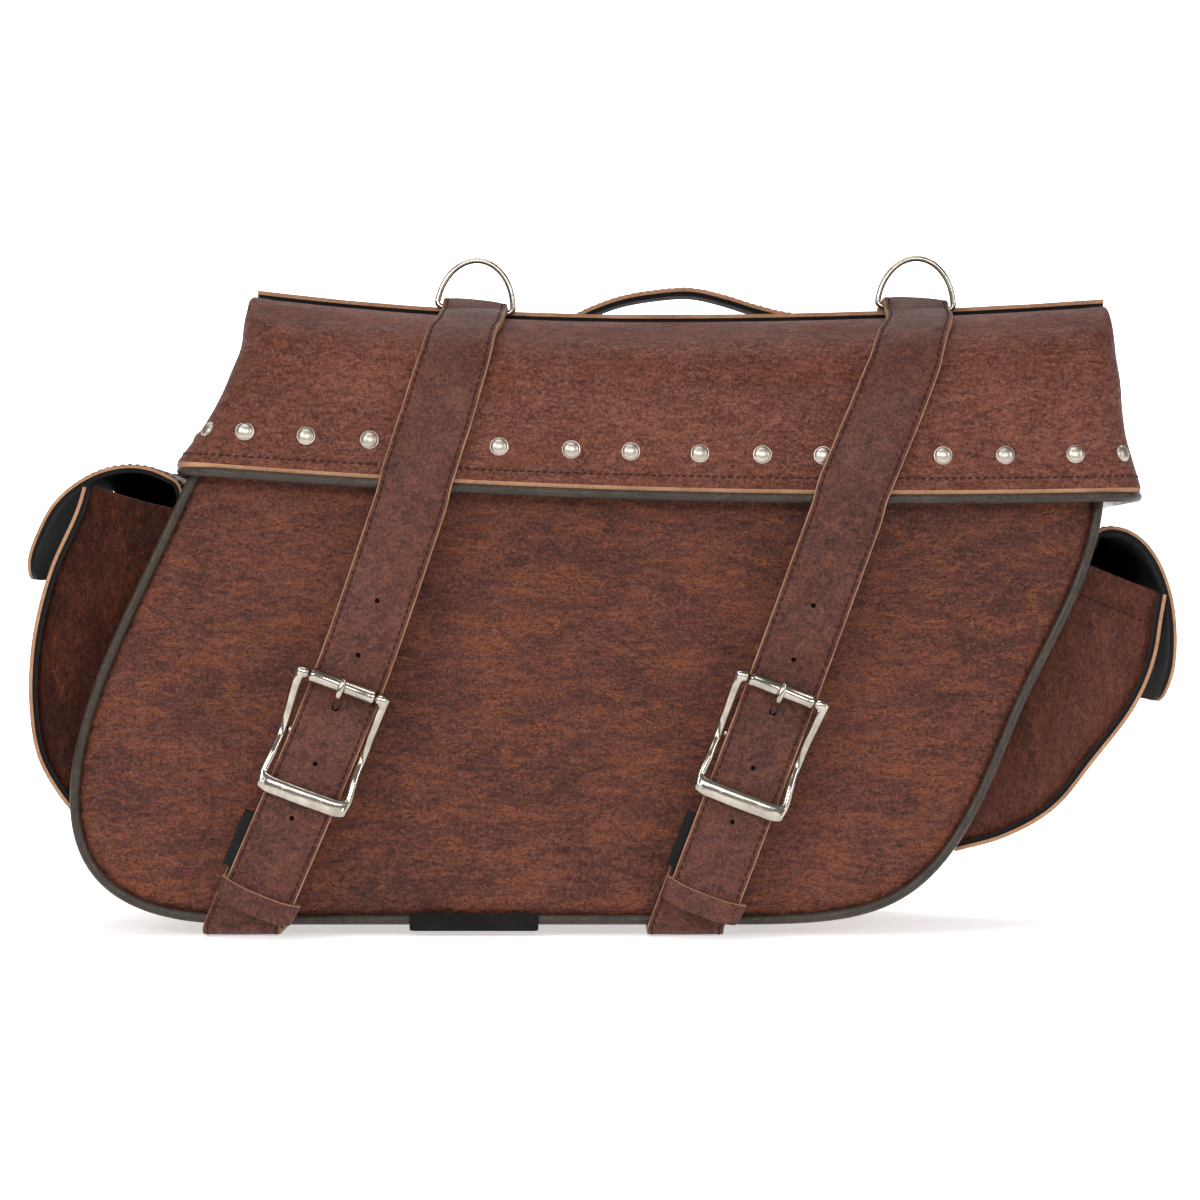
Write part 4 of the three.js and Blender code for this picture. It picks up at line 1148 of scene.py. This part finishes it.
def make_prong(side, spec):
    place, behind, front = spec["buckle"], HALF + 2.4, ROLLER_Y - ROLLER_RADIUS
    arm = [(0, CENTRE_BAR_Y - 3.0, 1.0), (0, behind + 0.8, 5), (0, behind, PRONG_HOLE_Z - 6),
           (0, -0.2, PRONG_HOLE_Z), (0, -6.6, PRONG_HOLE_Z + 5), (0, front - 2.0, BUCKLE_TOP - 4),
           (0, front - 2.1, BUCKLE_TOP + 2), (0, front - 1.9, BUCKLE_TOP + 4)]
    builder = Builder()
    add_bar(builder, place, arm, [1.7, 1.8, 1.8, 1.8, 1.9, 1.75, 1.6, 1.1], ACROSS)
    turn = full_turn(40)
    for x in (-0.6, 0.6):
        eye = np.stack([np.full(40, x), CENTRE_BAR_Y + 3.35 * np.cos(turn), 3.35 * np.sin(turn)], 1)
        add_tube(builder, to_strap(eye, place), 0.85, 10, ACROSS, closed=True)
    made = remeshed(builder.make(f"buckle_{side}_prong_cast", [NICKEL]), 0.3, 4)
    placed(made, f"prong_{side}", "nickel", f"buckle_{side}_prong")


THIN_SECTION = [
    (-1, 0, 0.5), (-1, 0.35, 0.95), (-1, 1.8, 1.05), (-1, 2.5, 0.75), (-1, 3.2, 1.05),
    (0, 0, 1.15), (1, 3.2, 1.05), (1, 2.5, 0.75), (1, 1.8, 1.05), (1, 0.35, 0.95), (1, 0, 0.5),
    (1, 0, -0.6), (1, 0.4, -1.0), (0, 0, -1.05), (-1, 0.4, -1.0), (-1, 0, -0.6),
]
THIN_FINISHES = [TAN] + [SKIN] * 8 + [TAN, TAN, TAN, LINING, LINING, TAN, TAN]


def make_chape(side, spec):
    """The short strap behind the main one that holds the buckle's centre bar."""
    y = HALF + 1.5
    path = spline([(0, y, -58), (0, y, -40), (0, y, -20), (0, y + 0.2, -9)], 2.5)
    path = to_strap(path, spec["buckle"])
    tilt = math.radians(spec["buckle"][2])
    wide = np.tile([math.cos(tilt), 0, -math.sin(tilt)], (len(path), 1))
    out = np.tile([0.0, -1.0, 0.0], (len(path), 1))
    builder = Builder()
    add_sweep(builder, path, wide, out, STRAP_WIDTH / 2 - 3, THIN_SECTION, THIN_FINISHES)
    placed(builder.make(f"buckle_{side}_chape_leather", layers(STRAP)),
           f"strap_{side}", "strap_leather", f"buckle_{side}_chape")


KEEPER_SECTION = [
    (-1, 0, 0.3), (-1, 0.4, 0.85), (-0.5, 0, 1.0), (0, 0, 1.05), (0.5, 0, 1.0), (1, 0.4, 0.85),
    (1, 0, 0.3), (1, 0, -0.4), (1, 0.4, -0.8), (-1, 0.4, -0.8), (-1, 0, -0.4),
]
KEEPER_FINISHES = [SKIN] * 5 + [TAN, TAN, TAN, LINING, TAN, SKIN]
KEEPER_HALF, KEEPER_CORNER = 5.9, 2.0


def keeper_ring(half_x, half_y):
    """A rounded rectangle round the strap, in the strap's own frame."""
    turn = np.linspace(0, math.pi / 2, 7)
    corners = []
    for quarter, (sign_x, sign_y) in enumerate(((1, 1), (-1, 1), (-1, -1), (1, -1))):
        angle = turn + quarter * math.pi / 2
        corners.append(np.stack([sign_x * (half_x - KEEPER_CORNER) + KEEPER_CORNER * np.cos(angle),
                                 sign_y * (half_y - KEEPER_CORNER) + KEEPER_CORNER * np.sin(angle),
                                 np.zeros(7)], 1))
    ring = np.concatenate(corners + [corners[0][:1]])
    return evenly(ring, 1.5)[:-1]


def make_keeper(side, spec):
    """The loop round the strap's end: a band whose raw edges show above and below."""
    place, half_x = spec["end"], STRAP_WIDTH / 2 + 1.6
    ring = keeper_ring(half_x, HALF + 1.3)
    front = smooth_step(-ring[:, 1], 1.0, 3.2)
    ring[:, 1] -= 1.1 * front * (1 - (ring[:, 0] / half_x) ** 2)
    along = unit(np.roll(ring, -1, 0) - np.roll(ring, 1, 0))
    out = np.cross(along, UP)
    out = out * np.sign((out * ring).sum())
    wide = unit(np.array(UP) + 0.14 * out)
    ring[:, 2] += 1.8 * np.abs(ring[:, 0] / half_x) ** 3 - 0.6
    only_turned = (0, 0, place[2])
    builder = Builder()
    add_sweep(builder, to_strap(ring, place), to_strap(wide, only_turned, 0),
              to_strap(out, only_turned, 0), KEEPER_HALF, KEEPER_SECTION, KEEPER_FINISHES,
              closed=True)
    placed(builder.make(f"strap_{side}_keeper_leather", layers(STRAP)),
           f"strap_{side}", "strap_leather", f"strap_{side}_keeper")


def bottom_strap_keys(spec, front=-82.7, back=80.6):
    """Place and outward direction of each station; the front part is sheared along the strap."""
    x, z, tilt = spec["clip"]
    slope = math.tan(math.radians(tilt))
    foot = x + (5 - z) * slope
    keys = [((x + (height - z) * slope, front, height), (0, -1, 0))
            for height in (62, 44, 26, 14, 8)]
    under = [(front + 0.6, 4.6, -0.85, -0.5), (front + 2.6, 2.6, -0.4, -0.9), (-76, 2.2, 0, -1),
             (0, 2.2, 0, -1), (74, 2.2, 0, -1), (back - 1.8, 3.4, 0.6, -0.8), (back, 7, 1, -0.1),
             (back, 40, 1, 0)]
    return keys + [((foot, y, height), (0, out_y, out_z)) for y, height, out_y, out_z in under]


def make_bottom_strap(side, spec):
    keys = bottom_strap_keys(spec)
    centres, normals = np.array([c for c, _ in keys]), unit([n for _, n in keys])
    knots = lengths_along(centres)
    at = np.linspace(0, knots[-1], int(knots[-1] / 1.6))
    path, out = read_at(at, knots, centres), unit(read_at(at, knots, normals))
    wide = np.tile([1.0, 0.0, 0.0], (len(path), 1))
    section = [(share, inset, depth * 1.55) for share, inset, depth in THIN_SECTION]
    reach = STRAP_WIDTH / 2 / math.cos(math.radians(spec["clip"][2]))
    builder = Builder()
    add_sweep(builder, path, wide, out, reach, section, THIN_FINISHES)
    placed(builder.make(f"bottom_strap_{side}_leather", layers(STRAP)),
           "root", "strap_leather", f"bottom_strap_{side}")
    lines = [(path + wide * sign * (reach - 2.5) + out * 1.35, out) for sign in (-1, 1)]
    placed(make_stitches(f"bottom_strap_{side}_stitches", lines), "root", "strap_leather")


def make_d_ring(side, spec):
    lowest = math.asin(2.5 / D_RING_HEIGHT)
    turn = np.linspace(lowest, math.pi - lowest, 40)
    arc = np.stack([D_RING_HALF * np.cos(turn), np.zeros(40), D_RING_HEIGHT * np.sin(turn)], 1)
    reach = D_RING_HALF * 0.93
    bar = np.linspace((-reach, 0, 0), (reach, 0, 0), 16)[1:-1]
    ring = spline(np.concatenate([bar, arc, bar[:1]]), 1.4)[:-1]
    place = (spec["top_x"], bar_height(spec), spec["top_tilt"])
    builder = Builder()
    add_tube(builder, to_strap(ring, place, BAR_Y), D_RING_WIRE, 14, closed=True)
    placed(builder.make(f"d_ring_{side}_wire", [NICKEL]), f"d_ring_{side}", "nickel",
           f"d_ring_{side}")


# ---- pockets ------------------------------------------------------------------------------
POCKETS = {
    "left": {
        "wall": [(-275, 236), (-277, 229), (-292, 194), (-302, 150), (-303.5, 122), (-298, 90),
                 (-286, 70), (-276.5, 59), (-268.5, 50.5)],
        "mouth": [(-224.5, 222.6), (-246, 228), (-269.5, 236.6)],
        "rear_mouth": [(-224.5, 238), (-231, 243), (-240, 245.6), (-252, 246.8), (-264, 244.6),
                       (-273.5, 238.6)],
        "finish": DARK_POCKET,
        "flap": [(-222.8, 227), (-223.2, 233), (-226, 238.5), (-229.5, 240.5), (-240, 245),
                 (-252, 246.5), (-264, 244.5), (-277, 238), (-289, 227), (-298, 211),
                 (-303.5, 196), (-304.5, 187)],
        "pivot": (-227.8, 239.6), "side": -1,
    },
    "right": {
        "wall": [(301, 178.5), (298.5, 164), (296, 149), (286, 122), (263, 91), (240, 64),
                 (213, 49), (189, 42.5)],
        "mouth": [(268.9, 198.5), (284, 188.5), (299.8, 179)],
        "rear_mouth": [(265, 208.5), (277, 212.6), (286, 208), (294, 198.5), (299, 182)],
        "finish": POCKET,
        "flap": [(262.4, 204.5), (263.4, 208.5), (266.4, 212), (269.5, 213), (277, 212.5),
                 (286, 208), (294, 199), (300, 187), (304, 172), (305, 158), (304, 142),
                 (301, 128), (299.5, 122)],
        "pivot": (268, 212.6), "side": 1,
    },
}
POCKET_HALF = 50.0
WALL_THICKNESS, FACE_THICKNESS, FLAP_THICKNESS = 3.9, 2.4, 4.0
FACE_ROWS, FACE_COLS = 60, 34
FLAP_CORNER, FLAP_BEND, FLAP_STITCH_COL = 22.0, 7, 3
WALL_EDGE = [(0.05, 0.25, SKIN), (0.1, 0.35, TAN), (0.52, 0.35, TAN), (0.58, 0.0, LINING),
             (0.95, -0.1, LINING)]
FACE_EDGE = [(0.1, 0.25, SKIN), (0.9, 0.35, TAN)]
FLAP_EDGE = [(0.04, 0.3, SKIN), (0.08, 0.4, TAN), (0.42, 0.4, TAN), (0.5, 0.1, LINING),
             (0.95, 0.0, LINING)]


def outward_of(line, side):
    """Unit vectors square to a pocket's XZ line, on the side away from the bag."""
    out = left_of(line)
    return out * np.sign((out[:, 0] * side).sum())


def make_outer_wall(name, spec):
    """The strip round a pocket's outside, whose raw front edge faces forward."""
    line = spline(spec["wall"], 3.0)
    out = outward_of(line, spec["side"])
    along_y = np.linspace(-POCKET_HALF - 3.2, POCKET_HALF + 3.2, 37)
    grid = swept_across(line, along_y)
    push_out(grid, out, 0.7 * wavy(grid, 45, 5.0) - 1.4 * (1 - (along_y / POCKET_HALF) ** 2))
    inner = grid.copy()
    push_out(inner, out, -WALL_THICKNESS)
    wall = make_sheet(f"pocket_{name}_outer_leather", spec["finish"], grid, inner, WALL_EDGE)
    placed(wall, "root", "body_leather", f"pocket_{name}_outer_wall")


def gusset_line(side):
    """The gusset's line beside a pocket, from its bottom up."""
    line = seam_edge(FRONT_TOP, SEAM_INSET - 0.5)
    part = line[line[:, 0] * side > 100]
    return part[np.argsort(part[:, 1])]


def flat_face(spec, facing):
    """A pocket's front or back wall as a flat XZ grid from the gusset outward, bottom row first."""
    side = spec["side"]
    outline = spline(spec["wall"], 2.0)
    outline = (outline - outward_of(outline, side) * (WALL_THICKNESS - 0.4))[::-1]
    mouth = spline(spec["mouth" if facing < 0 else "rear_mouth"], 1.0)
    mouth = mouth[np.argsort(mouth[:, 0] * side)]
    outer_edge = np.concatenate([outline[outline[:, 1] <= mouth[-1, 1] + 0.5], mouth[-1:]])
    along = lengths_along(outer_edge)
    up, across = np.linspace(0, 1, FACE_ROWS), np.linspace(0, 1, FACE_COLS)
    outer_edge = read_at(up, along / along[-1], outer_edge)
    lowest, root = outline[0, 1] + 1.0, gusset_line(side)
    inner_z = lowest + (mouth[0, 1] - lowest) * up
    inner_x = np.interp(inner_z, root[:, 1], root[:, 0]) - side * 1.2
    inner_edge = np.stack([inner_x, inner_z], 1)
    flat = inner_edge[:, None] * (1 - across[:, None]) + outer_edge[:, None] * across[:, None]
    # The top rows follow the sagging mouth line.
    share = (mouth[:, 0] - mouth[0, 0]) / (mouth[-1, 0] - mouth[0, 0])
    straight = mouth[0, 1] + (mouth[-1, 1] - mouth[0, 1]) * share
    flat[..., 1] += np.interp(across, share, mouth[:, 1] - straight) * up[:, None] ** 6
    return flat


def make_face_wall(name, spec, facing):
    """A puffed front or back wall with a hemmed mouth. Gives the line of its hem's stitches."""
    flat = flat_face(spec, facing)
    grid = np.stack([flat[..., 0], np.full(flat.shape[:2], facing * (POCKET_HALF + 0.4)),
                     flat[..., 1]], -1)
    up, across = np.linspace(0, 1, FACE_ROWS)[:, None], np.linspace(0, 1, FACE_COLS)
    arch = np.sin(math.pi * across)
    puff = 5.2 * arch ** 0.8 * np.sin(math.pi * (up * 0.86 + 0.04)) ** 0.7
    folds = (1.5 * wavy(grid * [1.5, 0, 0.45], 26, 8.0 + spec["side"]) * arch
             * np.sin(math.pi * up) ** 0.5)
    gather = -1.2 * np.exp(-((up - 0.93) / 0.02) ** 2)
    grid[..., 1] += facing * (puff + folds + gather - 1.2)
    inner = grid - [0, facing * FACE_THICKNESS, 0]
    end = "front" if facing < 0 else "back"
    wall = make_sheet(f"pocket_{name}_{end}_leather", spec["finish"], grid, inner, FACE_EDGE)
    placed(wall, "root", "body_leather", f"pocket_{name}_{end}_wall")
    hem = grid[-7, 1:-1] + [0, facing * 0.2, 0]
    return hem, np.tile([0.0, facing, 0.0], (len(hem), 1))


def flap_grid(line, out):
    """A flap's outer face, with its free end's corners rounded."""
    along = lengths_along(line)
    short = np.clip(1 - (along[-1] - along) / FLAP_CORNER, 0, 1)
    halves = POCKET_HALF + 3 - FLAP_CORNER * (1 - np.sqrt(1 - short ** 2))
    across = np.linspace(-1, 1, 45)
    grid = swept_across(line, across * halves[:, None])
    lift = 1.6 * smooth_step(along, 10, 60)[:, None] * np.cos(across * math.pi / 2)
    push_out(grid, out, lift + 0.6 * wavy(grid, 38, 13.0) + 1.6)
    return grid


def make_flap(name, spec):
    """The flap from the gusset over the pocket's mouth."""
    line = spline(spec["flap"], 2.5)
    out = outward_of(line, spec["side"])
    grid = flap_grid(line, out)
    normals = np.broadcast_to(in_xz(out, 0)[:, None], grid.shape)
    inner = grid - normals * FLAP_THICKNESS
    flap = make_sheet(f"pocket_{name}_flap_leather", spec["finish"], grid, inner, FLAP_EDGE)
    nearest = np.argmin(np.linalg.norm(line - spec["pivot"], axis=1))
    reach = FLAP_BEND * tangents_of(line)[nearest]
    ends = row(in_xz(np.array([spec["pivot"] - reach, spec["pivot"] + reach]), 0))
    bodies = ("root", f"flap_{name}")
    bent(flap, bodies, ends, "body_leather", f"pocket_{name}_flap_root", f"pocket_{name}_flap")
    inset, lifted = FLAP_STITCH_COL, grid + normals * 0.1
    lines = [(lifted[4:-3, col], normals[4:-3, col]) for col in (inset, -inset - 1)]
    lines.append((grid[-4, inset:-inset], normals[-4, inset:-inset]))
    bent(make_stitches(f"pocket_{name}_flap_stitches", lines), bodies, ends, "body_leather")


def make_pocket(name, spec):
    make_outer_wall(name, spec)
    hems = [make_face_wall(name, spec, facing) for facing in (-1, 1)]
    placed(make_stitches(f"pocket_{name}_stitches", hems), "root", "body_leather")
    make_flap(name, spec)


# ---- label, boards and clips --------------------------------------------------------------
def make_label_tab():
    """A plain black ribbon sewn under the bottom piping, with nothing on it."""
    x, height = np.meshgrid(np.linspace(-99, -33, 40), np.linspace(3.4, 11.4, 9))
    grid = np.stack([x, np.zeros(x.shape), height], -1)
    grid[..., 1] = -79.9 + 0.25 * wavy(grid, 14, 3.0) + 0.8 * smooth_step(height, 8.5, 11.4)
    builder = Builder()
    add_sheet(builder, grid, grid + [0, 1.0, 0], [(0.5, 0.8, SKIN)])
    placed(builder.make("label_ribbon", [BLACK] * 3), "root", "black_lining", "label_tab")


def paint(node, material):
    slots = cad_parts[node].data.materials
    slots.clear()
    slots.append(material)


def dress_cad_nodes():
    for board in ("front", "back", "bottom"):
        paint(f"{board}_stiffener", BOARD)
    for side in STRAPS:
        paint(f"clip_{side}_socket", PLASTIC)
        paint(f"clip_{side}_plug", PLASTIC)


# ---- stage, light and camera --------------------------------------------------------------
STAGE_PROFILE = [(-980, -0.2), (0, -0.2), (2500, -0.2), (3300, 60), (3900, 420), (4200, 1000),
                 (4300, 1900)]
BAG_MIDDLE, WALL_FOOT = (0, 0, 0.18), (0, 3.6, 0.4)
# Name, place, what it is aimed at, width and height in metres, and power in watts.
LIGHTS = [
    ("overhead", (-0.25, -0.72, 2.0), BAG_MIDDLE, 1.6, 0.8, 9),
    ("front_high", (0.1, -2.6, 0.95), BAG_MIDDLE, 2.0, 0.5, 24),
    ("front_left", (-1.7, -1.9, 1.3), BAG_MIDDLE, 0.9, 1.3, 22),
    ("front_right", (2.1, -1.4, 0.9), BAG_MIDDLE, 0.7, 1.3, 11),
    ("backdrop_glow", (0, 1.6, 2.6), WALL_FOOT, 4.0, 1.2, 150),
]


def make_stage():
    """A pale floor that rises into a pale wall a long way behind."""
    line = spline(STAGE_PROFILE, 150)
    x, y = np.meshgrid(np.linspace(-6000, 6000, 9), line[:, 0])
    grid = np.stack([x, y, np.broadcast_to(line[:, 1:], x.shape)], -1)
    builder = Builder()
    builder.add(grid, quads(*x.shape))
    s = Shader("pale_floor", **{"Emission Color": (1, 1, 1, 1), "Emission Strength": 0.55})
    tone = s.noise(s.place(), 3.0, 3.0)
    colour = s.mix(tone, srgb(246, 246, 246), srgb(252, 252, 252))
    pale = s.finish(Base_Color=colour, Roughness=s.ranged(tone, 0, 1, 0.85, 0.95))
    builder.make("pale_floor", [pale])


def make_lights():
    world = bpy.data.worlds.new("soft_room")
    world.use_nodes = True
    background = next(n for n in world.node_tree.nodes if n.type == "BACKGROUND")
    background.inputs["Color"].default_value = (0.9, 0.9, 0.92, 1)
    background.inputs["Strength"].default_value = 0.2
    bpy.context.scene.world = world
    for name, place, aim, width, height, power in LIGHTS:
        lamp = bpy.data.lights.new(name, "AREA")
        lamp.shape, lamp.size, lamp.size_y = "RECTANGLE", width, height
        lamp.energy = power
        made = bpy.data.objects.new(name, lamp)
        made.location = place
        made.rotation_euler = (Vector(aim) - Vector(place)).to_track_quat("-Z", "Y").to_euler()
        bpy.context.scene.collection.objects.link(made)


def make_camera():
    """Straight at the bag's front, 1.75 m away from it."""
    data = bpy.data.cameras.new("camera")
    data.lens, data.sensor_width = 100, 36
    camera = bpy.data.objects.new("camera", data)
    camera.location = row([0, -75 - 1750, 176])
    camera.rotation_euler = (math.radians(90), 0, 0)
    bpy.context.scene.collection.objects.link(camera)
    bpy.context.scene.camera = camera
    bpy.context.scene.view_settings.view_transform = "Standard"


make_camera()
make_stage()
make_lights()
make_body()
make_lid_shell()
make_lid_piping()
make_rivets()
make_hinge_strip()
make_handle()
for strap_side, strap_spec in STRAPS.items():
    for make_piece in (make_strap, make_buckle, make_roller, make_prong, make_chape,
                       make_keeper, make_bottom_strap, make_d_ring):
        make_piece(strap_side, strap_spec)
for pocket_name, pocket_spec in POCKETS.items():
    make_pocket(pocket_name, pocket_spec)
make_label_tab()
dress_cad_nodes()
